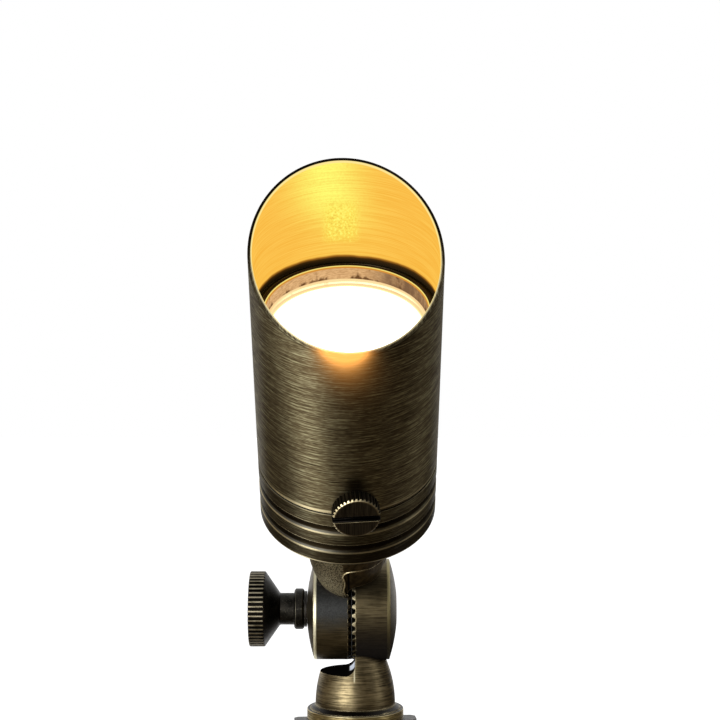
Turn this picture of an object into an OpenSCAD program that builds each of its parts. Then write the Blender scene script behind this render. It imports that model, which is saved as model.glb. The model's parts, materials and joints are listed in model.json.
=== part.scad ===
// Landscape spotlight on a ground stake. Millimetres, +Z up.
// The origin is on the stake's axis at soil level. The knuckle turns about X, its knob is at -X,
// and the head leans towards -Y.

/* [Shroud] */
// Wall of the shroud
shroud_wall = 1.4; // [1:0.1:2]
// Length of the shroud at the front of its slanted mouth
shroud_front = 65.5; // [64:0.5:80]
// Length of the shroud at the back of its slanted mouth
shroud_back = 102; // [85:1:130]
// How far the shroud is turned about the head's axis
shroud_turn = 5; // [-180:1:180]
// Radial clearance between the shroud and the housing
shroud_clearance = 0.1; // [0.05:0.05:0.3]
// Gap between the shroud's lower edge and the housing's shoulder
seam_gap = 0.35; // [0.2:0.05:0.6]

/* [Shroud screw] */
// Height of the screw over the shroud's lower edge
screw_h = 4.2; // [3.5:0.1:6]
// Diameter of the screw's head
screw_head_d = 16.3; // [12:0.1:20]
// Thickness of the screw's head
screw_head_t = 5.5; // [4:0.1:8]
// Gap between the shroud and the screw's head
screw_stand_off = 0.8; // [0.4:0.1:1.5]
// Diameter of the screw's shank
screw_d = 4; // [3:0.1:5]
// Width of the slot across the head
screw_slot_w = 2.2; // [1:0.05:2.5]
// Depth of the slot across the head
screw_slot_depth = 1.6; // [1:0.1:2.5]
// Number of ridges round the head
screw_ridges = 36; // [24:1:48]
// Depth of the ridges round the head
screw_ridge_depth = 0.5; // [0.3:0.05:0.7]
// Length of the nylon pad under the shank
pad_l = 1; // [0.8:0.1:1.5]

/* [Lamp housing] */
// Height of the housing's body under the shroud, with its chamfer
body_h = 23.6; // [20:0.1:32]
// Height of the chamfer at the bottom of the body
body_chamfer_h = 1.7; // [1:0.1:3]
// How far the chamfer draws in
body_chamfer_in = 1.5; // [0.5:0.1:3]
// Depth of the upper cooling groove under the shroud's edge
groove_1 = 5; // [4:0.1:7]
// Depth of the lower cooling groove under the shroud's edge
groove_2 = 13.4; // [11:0.1:14.5]
// Width of a cooling groove
groove_w = 2.75; // [1.5:0.05:4]
// Depth of a cooling groove
groove_depth = 0.9; // [0.4:0.1:1.2]
// Height of the housing's rim over the shroud's lower edge
spigot_h = 62.7; // [60:0.1:63]
// Wall of the housing beside the lens
rim_wall = 1.35; // [1.2:0.05:3]
// Thickness of the housing's floor
floor_t = 6; // [5:0.5:8]
// Height of the lower seal over the shroud's lower edge
seal_h = 12; // [11:0.5:20]
// Distance of the upper seal below the lens's seat
seal_drop = 6; // [3:0.5:10]
// Thickness of the rubber seals
seal_d = 1.8; // [1.4:0.1:2]

/* [Lens] */
// Width of the lens ring
lens_ring_w = 1.9; // [1.2:0.1:3]
// Height of the lens ring
lens_ring_h = 5; // [4:0.1:9]
// Width of the ledge that the lens lies on
lens_ledge = 1.5; // [1:0.1:3]
// Thickness of the lens
lens_t = 2; // [1.5:0.1:4]
// Thickness of the gasket under the lens
gasket_t = 1; // [0.5:0.1:1.5]
// Clearance round the lens and its ring
lens_clearance = 0.2; // [0.1:0.05:0.3]

/* [Lamp] */
// Diameter of the lamp's rim
lamp_d = 49.8; // [48:0.1:51]
// Width of the collar round the lamp's rim
lamp_collar_w = 2.3; // [1.5:0.1:4]
// Gap between the lamp's front and the lens
lamp_gap = 0.2; // [0.1:0.1:4]
// Length of the lamp without its pins
lamp_l = 44; // [42:0.5:46]
// Height of the lamp's rim
lamp_rim_h = 3.6; // [2.5:0.1:5]
// Distance between the lamp's two pins
pin_pitch = 5.33; // [4:0.01:6.35]
// Diameter of a lamp pin
pin_d = 1.55; // [1:0.05:2]
// Length of a lamp pin
pin_l = 7; // [6:0.1:8]
// Height of the socket
socket_h = 13; // [11:0.5:14]
// Width of the socket
socket_w = 19; // [16:0.5:22]
// Depth of the socket
socket_depth = 9.5; // [9:0.5:13]
// Thickness of the socket's bracket
bracket_t = 1.2; // [0.8:0.1:2]
// Width of the socket's bracket
bracket_w = 12; // [10:0.5:16]
// Distance of a bracket screw from the head's axis
bracket_screw_x = 18.5; // [18.5:0.1:20]
// Diameter of a bracket screw
bracket_screw_d = 3; // [2.5:0.1:3.5]
// Length of a bracket screw in the housing's floor
bracket_screw_l = 3.5; // [2.5:0.1:4]
// Diameter of a socket lead
lead_d = 2; // [1.2:0.1:2.2]

/* [Knuckle] */
// How far the head leans from upright
head_tilt = 37; // [0:1:90]
// Half of the distance between the head's axis and the stem's axis
axis_shift = 1.3; // [0.5:0.1:2]
// Diameter of a toothed disc
disc_d = 38.2; // [34:0.2:40]
// Distance from the knuckle's middle to the root of a disc's teeth
root_x = 1.4; // [1.2:0.1:2]
// Distance from the knuckle's middle to the rim of a disc's domed face
rim_x = 14.3; // [13:0.1:16]
// Height of a disc's dome
dome_h = 3.1; // [2.5:0.1:4]
// Number of teeth on a disc
teeth = 36; // [24:1:40]
// Height of a tooth
tooth_h = 1.25; // [0.8:0.05:1.25]
// Inner diameter of the ring of teeth
teeth_inner_d = 24.8; // [24.6:0.2:28]
// Diameter of the wire chamber between the discs
chamber_d = 20; // [16:0.5:20]
// Distance from the axis to the flat cut that clears the other disc
clear_h = 23.6; // [22:0.1:25]
// Radius where that cut meets the toothed face
clear_fillet = 4.2; // [2:0.1:5]
// Bore for the lead through the castings
lead_bore_d = 6; // [4:0.5:6]
// Wall between the lead bore and a toothed face
lead_bore_wall = 0.6; // [0.4:0.1:0.8]

/* [Castings] */
// Radius of the bell of the neck and of the stem where it is widest
bell_r = 15.3; // [14:0.1:17]
// Distance from the knuckle's axis to the bell's widest place
bell_h = 36.1; // [35:0.1:38]
// Radius of the bell's curved side
bell_side_r = 43.7; // [38:0.1:60]
// Height of the neck's top face over the knuckle's axis
neck_h = 50.6; // [48:0.1:60]
// Thickness of the rubber seal between the neck and the housing
neck_seal_t = 0.8; // [0.5:0.1:1.5]
// Diameter of the neck's flange under the housing
neck_flange_d = 40; // [34:0.5:46]
// Thickness of the neck's flange
neck_flange_t = 3.6; // [2:0.1:5]
// Diameter of the neck's threaded end
neck_thread_d = 20; // [18:0.5:24]
// Height of the neck's lock nut
neck_nut_h = 4; // [3:0.1:5]
// Width across flats of the neck's lock nut
neck_nut_af = 27; // [25:0.5:27]
// Depth of the step beside the clearing cut
step_depth = 0.7; // [0.3:0.1:1.2]
// Distance of the step's upright edge from the knuckle's middle
step_edge_x = 3; // [1:0.5:6]
// Distance of the step's top below the bell's widest place
step_drop = 3; // [1:0.5:6]

/* [Knob] */
// Diameter of the knob's knurled rim
knob_d = 28.6; // [24:0.2:36]
// Length of the knob's knurled rim
knob_rim_l = 6; // [4:0.1:10]
// Number of ridges round the rim
knob_ridges = 50; // [36:1:60]
// Depth of the ridges
knob_ridge_depth = 0.75; // [0.4:0.05:1]
// Length of the knob's cone
knob_cone_l = 5.6; // [4:0.1:8]
// Diameter of the knob's neck
knob_neck_d = 12.1; // [10:0.1:14]
// Length of the knob's neck
knob_neck_l = 5.5; // [4:0.1:10]
// Diameter of the knob's collar
knob_collar_d = 15.5; // [13:0.1:18]
// Length of the knob's collar
knob_collar_l = 3.75; // [2.5:0.05:5]
// Diameter of the knuckle bolt
bolt_d = 8; // [6:0.1:8]
// Radial clearance of the bolt in its bores
bolt_clearance = 0.06; // [0.03:0.01:0.1]
// Thickness of the washer under the knob
washer_t = 0.8; // [0.6:0.1:1.2]
// Diameter of the washer under the knob
washer_d = 13.7; // [12:0.1:14]

/* [Stem] */
// Diameter of the stem's foot
stem_foot_d = 34.8; // [33:0.2:35.4]
// Diameter of the ring under the stem
ring_d = 37; // [36.6:0.2:46]
// Height of the ring under the stem
ring_h = 3.9; // [3:0.1:6]
// Distance from the ring's top to the widest place of the stem's bell
flare_h = 1.5; // [1:0.1:8]
// Depth of the seat in the ring's top
ring_seat = 1.8; // [1.4:0.1:2.4]
// Thickness of the rubber washer in that seat
stem_washer_t = 0.8; // [0.5:0.1:1]
// Diameter of the threaded pipe under the stem
nipple_d = 20.8; // [18:0.2:22]
// Bore of the threaded pipe
nipple_bore_d = 14; // [10:0.5:15]
// Length of the threaded pipe in the stem
nipple_up = 9; // [7:0.5:9.5]
// Length of the threaded pipe below the stem ring
nipple_down = 20; // [16:0.5:22]

/* [Stake] */
// Length of the stake below the soil
stake_l = 190; // [140:5:260]
// Span of the stake's cross-shaped head
stake_head_w = 46.8; // [42:0.2:60]
// Width of an arm of the head
stake_arm_w = 8.5; // [6:0.1:12]
// Thickness of the stake's head
stake_head_t = 3.2; // [2.5:0.1:5]
// How far the stake is turned about its axis
stake_turn = 4.6; // [-45:0.1:45]
// Diameter of the stake's hub
stake_hub_d = 31; // [30:0.5:36]
// Depth of the stake's hub below the soil
stake_hub_l = 44; // [40:1:60]
// Thickness of a fin
stake_fin_t = 3; // [2:0.1:5]
// Width of the fins where they leave the hub
stake_fin_w = 40; // [34:0.5:46]
// Distance of the fins below the stake's head
fin_drop = 2; // [1:0.5:6]
// Height of the fins' straight shoulder
fin_shoulder = 8; // [4:1:20]
// Length of the fins' pointed tip
fin_tip_l = 8; // [5:1:20]
// Width of the fins where the tip starts
fin_tip_w = 5; // [3.5:0.5:8]
// Outer diameter of the brass bush in the stake
bush_d = 25; // [24:0.2:26]
// Width of the ledge that the bush stands on
bush_ledge = 1.5; // [1:0.1:2]
// Thickness of the hub's floor
hub_floor_t = 4; // [3:0.5:6]
// Diameter of the wire outlet in the hub
outlet_d = 10; // [8:0.5:12]
// Bore of the rubber grommet in the outlet
grommet_bore_d = 6; // [4:0.5:7]
// Gap between the stem and the stake's head
swivel_gap = 0.3; // [0.2:0.05:0.5]
// Clearance of the pipe in the bush
swivel_clearance = 0.06; // [0.03:0.01:0.1]

/* [Hidden] */
$fn = 96;
// Overlap of pieces that are joined or cut
e = 0.01;
// More than any width of the part, for half spaces
far = 300;
// Edge break of turned and moulded pieces
edge = 0.3;
// Radial clearance of pieces that are pushed together
push_fit = 0.05;

// From the lamp outwards: bore, lens, housing and shroud
housing_bore_r = lamp_d/2 + lamp_collar_w;
lens_r = housing_bore_r + lens_ledge;
lens_seat_r = lens_r + lens_clearance;
spigot_r = lens_seat_r + rim_wall;
shroud_bore_r = spigot_r + shroud_clearance;
shroud_r = shroud_bore_r + shroud_wall;
shroud_slope = atan((shroud_back - shroud_front)/(2*shroud_r));
shroud_mid = (shroud_back + shroud_front)/2;

screw_bore_r = screw_d/2 + push_fit;
screw_groove_depth = 1;
screw_groove_side = 0.4;
screw_groove_r = spigot_r - screw_groove_depth;
// The pad is shown just clear of the groove's floor, where the screw presses it
pad_r0 = screw_groove_r + 0.25;
screw_tip_r = pad_r0 + pad_l + 0.02;
screw_back_r = shroud_r + screw_stand_off;

housing_low = neck_h + neck_seal_t;
// Distance from the knuckle's axis to the shroud's lower edge
seam_h = housing_low + body_h;
housing_floor = housing_low + floor_t;
housing_rim = seam_h + spigot_h;
lens_seat = housing_rim - lens_ring_h - lens_t - gasket_t;
lamp_front = lens_seat + gasket_t - lamp_gap;
lamp_low = lamp_front - lamp_l;
lamp_base_h = 12;
lamp_base_w = 18;
lamp_base_depth = 9;
// The frame that holds the lamp's face, and the board behind it
lamp_frame_w = 0.6;
lamp_face_t = 2;
board_inset = 6;
board_t = 1.6;
socket_top = lamp_low - 0.3;
socket_low = socket_top - socket_h;
contact_wall = 0.7;
contact_inset = 2;
bracket_foot_half = 3.5;
bracket_screw_head_r = bracket_screw_d/2 + 1.3;
bracket_screw_head_t = 2;
neck_seal_inset = 1.5;
neck_thread_end = 1;
seal_r = seal_d/2;
// The rings stand a little proud of the housing, and stay clear of the shroud
seal_groove_r = spigot_r - seal_d + 0.05;
seal_heights = [seam_h + seal_h, lens_seat - seal_drop];

joint_x = -axis_shift;
disc_r = disc_d/2;
// Flat between the roots of two teeth, and a tooth's tip as a share of its root
tooth_gap = 0.04;
tooth_tip = 0.45;
tooth_sunk = 0.2;
lead_bore_x = root_x + lead_bore_wall + lead_bore_d/2;
chamber_x = lead_bore_x + lead_bore_d/2 + 0.4;
// The lead bores end inside the chamber
lead_bore_end = 6;
dome_r = (disc_r*disc_r + dome_h*dome_h)/(2*dome_h);
// The dome has a flat spot in its middle
spot_x = rim_x + dome_h - 0.3;
bolt_bore_r = bolt_d/2 + bolt_clearance;
// The knob is shown slackened, with its washer clear of the disc
washer_gap = 0.25;
washer_x = spot_x + washer_gap;
collar_x = washer_x + washer_t + 0.2;
neck_x = collar_x + knob_collar_l;
cone_x = neck_x + knob_neck_l;
rim_start_x = cone_x + knob_cone_l;
knob_end_x = rim_start_x + knob_rim_l;
knob_end_t = 3;
bolt_in_knob = knob_end_x - knob_end_t;
bolt_in_stem = rim_x - 1.3;
bolt_bore_end = rim_x + 1;

ring_low = stake_head_t + swivel_gap;
ring_top = ring_low + ring_h;
ring_foot = ring_top - ring_seat;
stem_low = ring_foot + stem_washer_t;
flare_top = ring_top + flare_h;
// Height of the knuckle's axis over the soil
pivot_h = flare_top + bell_h;
nipple_top = stem_low + nipple_up;
nipple_low = ring_low - nipple_down;
nipple_end_gap = 2;
bush_low = nipple_low - nipple_end_gap;
hub_wall_r = bush_d/2 - bush_ledge;
outlet_z = hub_floor_t - stake_hub_l + outlet_d/2 + 1;
outlet_turn = 45;
grommet_lip_w = 1.2;
grommet_lip_t = 1.8;
grommet_inside = 1;

// The knuckle's middle, on its axis
module at_pivot() {
    translate([joint_x, 0, pivot_h]) children();
}

// Local Z runs along the knuckle's axis towards +X, from its middle
module along_knuckle() {
    at_pivot() rotate([0, 90, 0]) children();
}

// Local Z runs along the knuckle's axis towards the knob
module towards_knob() {
    at_pivot() rotate([0, -90, 0]) children();
}

// Local Z runs up the head's axis from the height of the knuckle's axis
module on_head() {
    at_pivot() rotate([head_tilt, 0, 0]) translate([-axis_shift, 0, 0]) children();
}

// Local Z runs out from the head's axis through the shroud's screw, local Y runs up the head
module on_screw() {
    on_head() rotate([0, 0, shroud_turn]) translate([0, 0, seam_h + screw_h])
        rotate([90, 0, 0]) children();
}

module tube(r_out, r_in, h) {
    difference() {
        cylinder(r = r_out, h = h);
        translate([0, 0, -e]) cylinder(r = r_in, h = h + 2*e);
    }
}

module ring_of_round(r, section_r) {
    rotate_extrude() translate([r, 0]) circle(r = section_r);
}

// A cylinder with a chamfer at each end
module chamfered(r, h, c0, c1) {
    rotate_extrude() polygon([[0, 0], [r - c0, 0], [r, c0], [r, h - c1], [r - c1, h], [0, h]]);
}

// A turned grip with straight ridges, chamfered at both ends
module knurled(r, h, ridges, depth, c) {
    step = 360/ridges;
    // Half of a ridge's foot and of its top, as shares of the step from ridge to ridge
    foot = 0.27;
    top = 0.2;
    outline = [for (i = [0:ridges - 1], p = [[-foot, 0], [-top, 1], [top, 1], [foot, 0]])
        let (a = (i + p[0])*step, q = r - depth + p[1]*depth) [q*cos(a), q*sin(a)]];
    intersection() {
        linear_extrude(height = h) polygon(outline);
        chamfered(r + e, h, c, c);
    }
}

// The bell of a casting: local Z is the distance from the knuckle's axis
module bell(r, low, high) {
    rotate_extrude() intersection() {
        translate([r - bell_side_r, bell_h]) circle(r = bell_side_r, $fn = 192);
        translate([0, low]) square([2*r, high - low]);
    }
}

// A disc with a domed outer face: local Z runs outwards from the knuckle's middle
module domed_disc() {
    translate([0, 0, root_x]) cylinder(r = disc_r, h = rim_x - root_x);
    intersection() {
        translate([0, 0, rim_x + dome_h - dome_r]) sphere(r = dome_r, $fn = 192);
        translate([0, 0, rim_x - e]) cylinder(r = disc_r, h = spot_x - rim_x + e);
    }
}

// Radial teeth that stand on a disc's root plane and point to the knuckle's middle
module face_teeth() {
    half_base = (PI*teeth_inner_d/teeth - tooth_gap)/2;
    half_tip = half_base*tooth_tip;
    length = disc_r - push_fit - teeth_inner_d/2;
    for (i = [0:teeth - 1])
        rotate([0, 0, i*360/teeth]) translate([teeth_inner_d/2, 0, root_x])
            rotate([90, 0, 90]) linear_extrude(height = length)
                polygon([[-half_base, tooth_sunk], [half_base, tooth_sunk], [half_tip, -tooth_h],
                         [-half_tip, -tooth_h]]);
}

// The wire chamber and the bore of the bolt, cut into one disc
module disc_bores(bore_end) {
    translate([0, 0, -e]) cylinder(d = chamber_d, h = chamber_x + e);
    cylinder(r = bolt_bore_r, h = bore_end);
}

// What is cut away beside a toothed face, so that the other disc can turn:
// local X is square to the face and points away from the disc, local Z is the casting's axis
module clearing_cut() {
    rotate([90, 0, 0]) linear_extrude(height = far, center = true) difference() {
        translate([0, -far/2]) square([far/2, far/2 + clear_h]);
        difference() {
            translate([-e, clear_h - clear_fillet]) square([clear_fillet + e, clear_fillet + e]);
            translate([clear_fillet, clear_h - clear_fillet]) circle(r = clear_fillet);
        }
    }
}

// The shallow step that the face cutter leaves on the casting's front beside the cut
module cutter_step(low, high, x0) {
    intersection() {
        difference() {
            translate([0, 0, low]) cylinder(r = 2*bell_r, h = high - low);
            bell(bell_r - step_depth, low - 1, high + 1);
        }
        translate([x0, -far/2, low]) cube([far/2, far/2, high - low]);
    }
}

// Moved with the stake

module fin_outline() {
    half = stake_fin_w/2;
    tip = fin_tip_w/2;
    shoulder = -fin_drop - fin_shoulder;
    tip_z = fin_tip_l - stake_l;
    polygon([[-half, -fin_drop], [half, -fin_drop], [half, shoulder], [tip, tip_z], [0, -stake_l],
             [-tip, tip_z], [-half, shoulder]]);
}

module stake_fin() {
    rotate([90, 0, 0]) linear_extrude(height = stake_fin_t, center = true) fin_outline();
}

module stake_arm() {
    corner = 1.6;
    half = stake_head_w/2;
    side = stake_arm_w/2;
    linear_extrude(height = stake_head_t)
        polygon([[-half, -side + corner], [-half + corner, -side], [half - corner, -side],
                 [half, -side + corner], [half, side - corner], [half - corner, side],
                 [-half + corner, side], [-half, side - corner]]);
}

module outlet_axis() {
    rotate([0, 0, stake_turn + outlet_turn]) translate([0, 0, outlet_z]) rotate([0, 90, 0]) children();
}

module ground_stake() {
    color("dimgray") difference() {
        rotate([0, 0, stake_turn]) {
            translate([0, 0, -stake_hub_l]) cylinder(d = stake_hub_d, h = stake_hub_l + stake_head_t);
            for (a = [0, 90]) rotate([0, 0, a]) {
                stake_fin();
                stake_arm();
            }
        }
        translate([0, 0, bush_low]) cylinder(d = bush_d, h = far);
        translate([0, 0, hub_floor_t - stake_hub_l]) cylinder(r = hub_wall_r, h = far);
        outlet_axis() cylinder(d = outlet_d, h = far);
    }
}

module stake_bushing() {
    color("goldenrod") translate([0, 0, bush_low])
        tube(bush_d/2, nipple_d/2 + swivel_clearance, stake_head_t - bush_low);
}

module lead_grommet() {
    wall_out = stake_hub_d/2;
    low = hub_wall_r - grommet_inside;
    high = wall_out + grommet_lip_t;
    color("black") outlet_axis() difference() {
        union() {
            translate([0, 0, low]) cylinder(d = outlet_d, h = wall_out - low + e);
            translate([0, 0, wall_out]) chamfered(outlet_d/2 + grommet_lip_w, grommet_lip_t, e, edge);
        }
        translate([0, 0, low - e]) cylinder(d = grommet_bore_d, h = high - low + 2*e);
    }
}

// Moved with the stem

module swivel_stem() {
    color("#6f6248") difference() {
        union() {
            translate([0, 0, pivot_h]) mirror([0, 0, 1]) bell(bell_r, 0, bell_h);
            translate([0, 0, stem_low]) cylinder(d = stem_foot_d, h = ring_top - stem_low);
            translate([0, 0, ring_top])
                cylinder(r1 = stem_foot_d/2, r2 = bell_r, h = flare_top - ring_top);
            along_knuckle() domed_disc();
        }
        translate([joint_x + root_x, 0, pivot_h]) rotate([0, 180, 0]) clearing_cut();
        along_knuckle() {
            disc_bores(bolt_bore_end);
            translate([0, 0, root_x - far]) cylinder(r = disc_r + 1, h = far);
        }
        translate([joint_x + lead_bore_x, 0, stem_low])
            cylinder(d = lead_bore_d, h = pivot_h - stem_low - lead_bore_end);
        translate([0, 0, stem_low - e]) cylinder(d = nipple_d, h = nipple_up + e);
    }
    color("#6f6248") along_knuckle() face_teeth();
}

module stem_ring() {
    color("#b59a5c") difference() {
        translate([0, 0, ring_low]) chamfered(ring_d/2, ring_h, edge, 2*edge);
        translate([0, 0, ring_foot]) cylinder(r = stem_foot_d/2 + push_fit, h = ring_h);
        translate([0, 0, ring_low - e]) cylinder(d = nipple_d, h = ring_h);
    }
}

module stem_washer() {
    color("black") translate([0, 0, ring_foot]) tube(stem_foot_d/2 - 2*edge, nipple_d/2, stem_washer_t);
}

module stem_nipple() {
    color("goldenrod") translate([0, 0, nipple_low])
        tube(nipple_d/2, nipple_bore_d/2, nipple_top - nipple_low);
}

module knuckle_seal() {
    color("black") along_knuckle() translate([0, 0, root_x - seal_r])
        ring_of_round((chamber_d + teeth_inner_d)/4, seal_r);
}

// Moved with the knob

module knob_washer() {
    color("gray") towards_knob() translate([0, 0, washer_x]) tube(washer_d/2, bolt_bore_r, washer_t);
}

module knuckle_knob() {
    neck_r = knob_neck_d/2;
    rim_r = knob_d/2;
    color("#2b2a26") towards_knob() difference() {
        union() {
            translate([0, 0, collar_x]) chamfered(knob_collar_d/2, knob_collar_l, 2*edge, 2*edge);
            translate([0, 0, neck_x - e]) cylinder(r = neck_r, h = knob_neck_l + 2*e);
            translate([0, 0, cone_x]) cylinder(r1 = neck_r + edge, r2 = rim_r - edge, h = knob_cone_l);
            translate([0, 0, rim_start_x - e])
                knurled(rim_r, knob_rim_l + e, knob_ridges, knob_ridge_depth, edge);
        }
        translate([0, 0, collar_x - e]) cylinder(d = bolt_d, h = bolt_in_knob - collar_x + e);
    }
}

module knuckle_bolt() {
    color("silver") along_knuckle() translate([0, 0, -bolt_in_knob])
        chamfered(bolt_d/2, bolt_in_knob + bolt_in_stem, edge, 2*edge);
}

// Moved with the head

module swivel_neck() {
    thread_top = housing_floor + neck_nut_h + neck_thread_end;
    color("#7b6f52") difference() {
        union() {
            on_head() {
                bell(bell_r, 0, bell_h);
                translate([0, 0, bell_h - e]) cylinder(r = bell_r, h = neck_h - bell_h + e);
                translate([0, 0, neck_h - neck_flange_t])
                    chamfered(neck_flange_d/2, neck_flange_t, 4*edge, edge);
                translate([0, 0, neck_h]) cylinder(d = neck_thread_d, h = thread_top - neck_h);
            }
            towards_knob() domed_disc();
        }
        at_pivot() rotate([head_tilt, 0, 0]) translate([-root_x, 0, 0]) clearing_cut();
        on_head() cutter_step(disc_r, bell_h - step_drop, axis_shift - step_edge_x);
        towards_knob() {
            disc_bores(far);
            translate([0, 0, root_x - far]) cylinder(r = disc_r + 1, h = far);
        }
        on_head() translate([axis_shift - lead_bore_x, 0, lead_bore_end])
            cylinder(d = lead_bore_d, h = thread_top);
    }
    color("#7b6f52") towards_knob() face_teeth();
}

module neck_seal() {
    color("black") on_head() translate([0, 0, neck_h])
        tube(neck_flange_d/2 - neck_seal_inset, neck_thread_d/2, neck_seal_t);
}

module neck_nut() {
    color("gray") on_head() translate([0, 0, housing_floor]) difference() {
        rotate([0, 0, 30]) cylinder(d = neck_nut_af/cos(30), h = neck_nut_h, $fn = 6);
        translate([0, 0, -e]) cylinder(d = neck_thread_d, h = neck_nut_h + 2*e);
    }
}

module housing_profile() {
    r = shroud_r;
    deep = r - groove_depth;
    low = housing_low;
    flank = 0.5;
    grooves = [for (top = [groove_2, groove_1],
                    p = [[r, groove_w], [deep, groove_w - flank], [deep, flank], [r, 0]])
        [p[0], seam_h - top - p[1]]];
    polygon(concat(
        [[neck_thread_d/2, low], [r - body_chamfer_in, low], [r, low + body_chamfer_h]],
        grooves,
        [[r - edge, seam_h], [spigot_r, seam_h], [spigot_r, housing_rim - edge],
         [spigot_r - edge, housing_rim], [lens_seat_r, housing_rim], [lens_seat_r, lens_seat],
         [housing_bore_r, lens_seat], [housing_bore_r, housing_floor],
         [neck_thread_d/2, housing_floor]]));
}

module lamp_housing() {
    groove_half = screw_d/2 + screw_groove_side;
    color("#7d6c49") on_head() difference() {
        rotate_extrude() housing_profile();
        translate([0, 0, seam_h + screw_h - groove_half]) difference() {
            cylinder(r = spigot_r + 1, h = 2*groove_half);
            translate([0, 0, -e]) cylinder(r = screw_groove_r, h = 2*groove_half + 2*e);
        }
        for (h = seal_heights) translate([0, 0, h - seal_r]) difference() {
            cylinder(r = spigot_r + 1, h = seal_d);
            translate([0, 0, -e]) cylinder(r = seal_groove_r, h = seal_d + 2*e);
        }
        for (s = [-1, 1]) translate([s*bracket_screw_x, 0, housing_floor - bracket_screw_l - 0.5])
            cylinder(d = bracket_screw_d, h = floor_t);
    }
}

module housing_seals() {
    color("black") on_head() for (h = seal_heights) translate([0, 0, h])
        ring_of_round(seal_groove_r + seal_r, seal_r);
}

module socket_bracket() {
    out = bracket_screw_x + bracket_foot_half;
    leg = bracket_screw_x - bracket_foot_half;
    z0 = housing_floor;
    z1 = socket_low;
    t = bracket_t;
    color("silver") on_head() difference() {
        rotate([90, 0, 0]) linear_extrude(height = bracket_w, center = true)
            polygon([[-out, z0], [-leg + t, z0], [-leg + t, z1 - t], [leg - t, z1 - t], [leg - t, z0],
                     [out, z0], [out, z0 + t], [leg, z0 + t], [leg, z1], [-leg, z1], [-leg, z0 + t],
                     [-out, z0 + t]]);
        for (s = [-1, 1]) translate([s*bracket_screw_x, 0, z0 - e])
            cylinder(d = bracket_screw_d, h = t + 2*e);
        translate([axis_shift - lead_bore_x, 0, z1 - t - e]) cylinder(d = lead_bore_d, h = t + 2*e);
    }
}

module bracket_screws() {
    color("silver") on_head() for (s = [-1, 1]) translate([s*bracket_screw_x, 0, housing_floor]) {
        translate([0, 0, -bracket_screw_l])
            cylinder(d = bracket_screw_d, h = bracket_screw_l + bracket_t + e);
        translate([0, 0, bracket_t]) chamfered(bracket_screw_head_r, bracket_screw_head_t, e, 2*edge);
    }
}

module lamp_socket() {
    color("white") on_head() translate([0, 0, socket_low]) difference() {
        translate([-socket_w/2, -socket_depth/2, 0]) cube([socket_w, socket_depth, socket_h]);
        for (s = [-1, 1]) translate([s*pin_pitch/2, 0, -e])
            cylinder(r = pin_d/2 + contact_wall, h = socket_h + 2*e);
    }
}

module socket_contacts() {
    color("goldenrod") on_head() for (s = [-1, 1])
        translate([s*pin_pitch/2, 0, socket_low + contact_inset])
            tube(pin_d/2 + contact_wall, pin_d/2, socket_h - 1.5*contact_inset);
}

module socket_leads() {
    x0 = axis_shift - lead_bore_x;
    color("white") on_head() for (s = [-1, 1]) translate([x0, s*0.7*lead_d, disc_r])
        cylinder(d = lead_d, h = socket_low - disc_r);
}

module lamp_base() {
    color("white") on_head() translate([-lamp_base_w/2, -lamp_base_depth/2, lamp_low])
        cube([lamp_base_w, lamp_base_depth, lamp_base_h]);
}

module lamp_pins() {
    color("silver") on_head() for (s = [-1, 1]) translate([s*pin_pitch/2, 0, lamp_low - pin_l])
        chamfered(pin_d/2, pin_l, edge, 0);
}

module lamp_reflector() {
    r = lamp_d/2;
    low = lamp_low + lamp_base_h;
    rim = lamp_front - lamp_rim_h;
    // The foot round the base, the waist above it and the wall up to the rim
    foot_r = 11;
    waist_r = 17;
    waist_h = 9;
    wall = 1.4;
    face_r = r - lamp_frame_w;
    face_low = lamp_front - lamp_face_t;
    board_low = lamp_front - board_inset - board_t;
    color("white") on_head() rotate_extrude()
        polygon([[0, low], [foot_r, low], [waist_r, low + waist_h], [r - wall, rim], [r, rim],
                 [r, lamp_front], [face_r, lamp_front], [face_r, face_low], [face_r - wall, face_low],
                 [face_r - wall, face_low - wall], [r - board_inset, board_low], [0, board_low]]);
}

module led_board() {
    color("white") on_head() translate([0, 0, lamp_front - board_inset - board_t])
        cylinder(r = lamp_d/2 - board_inset - edge, h = board_t);
}

module lamp_face() {
    color("white") on_head() translate([0, 0, lamp_front - lamp_face_t])
        chamfered(lamp_d/2 - lamp_frame_w, lamp_face_t, e, edge);
}

module lamp_collar() {
    color("mistyrose") on_head() translate([0, 0, lamp_front - lamp_rim_h])
        tube(housing_bore_r, lamp_d/2, lamp_rim_h - edge);
}

module lens_gasket() {
    color("white") on_head() translate([0, 0, lens_seat]) tube(lens_seat_r, housing_bore_r, gasket_t);
}

module lens() {
    color("lightblue", 0.4) on_head() translate([0, 0, lens_seat + gasket_t])
        chamfered(lens_r, lens_t, edge, edge);
}

module lens_ring() {
    low = lens_seat + gasket_t + lens_t;
    bore_r = lens_seat_r - lens_ring_w;
    bevel = 0.5;
    color("#b59a5c") on_head() translate([0, 0, low]) difference() {
        chamfered(lens_seat_r, lens_ring_h, e, edge);
        translate([0, 0, -e]) cylinder(r = bore_r, h = lens_ring_h + 2*e);
        translate([0, 0, lens_ring_h - bevel])
            cylinder(r1 = bore_r, r2 = bore_r + bevel + e, h = bevel + e);
    }
}

// Moved with the shroud

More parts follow.
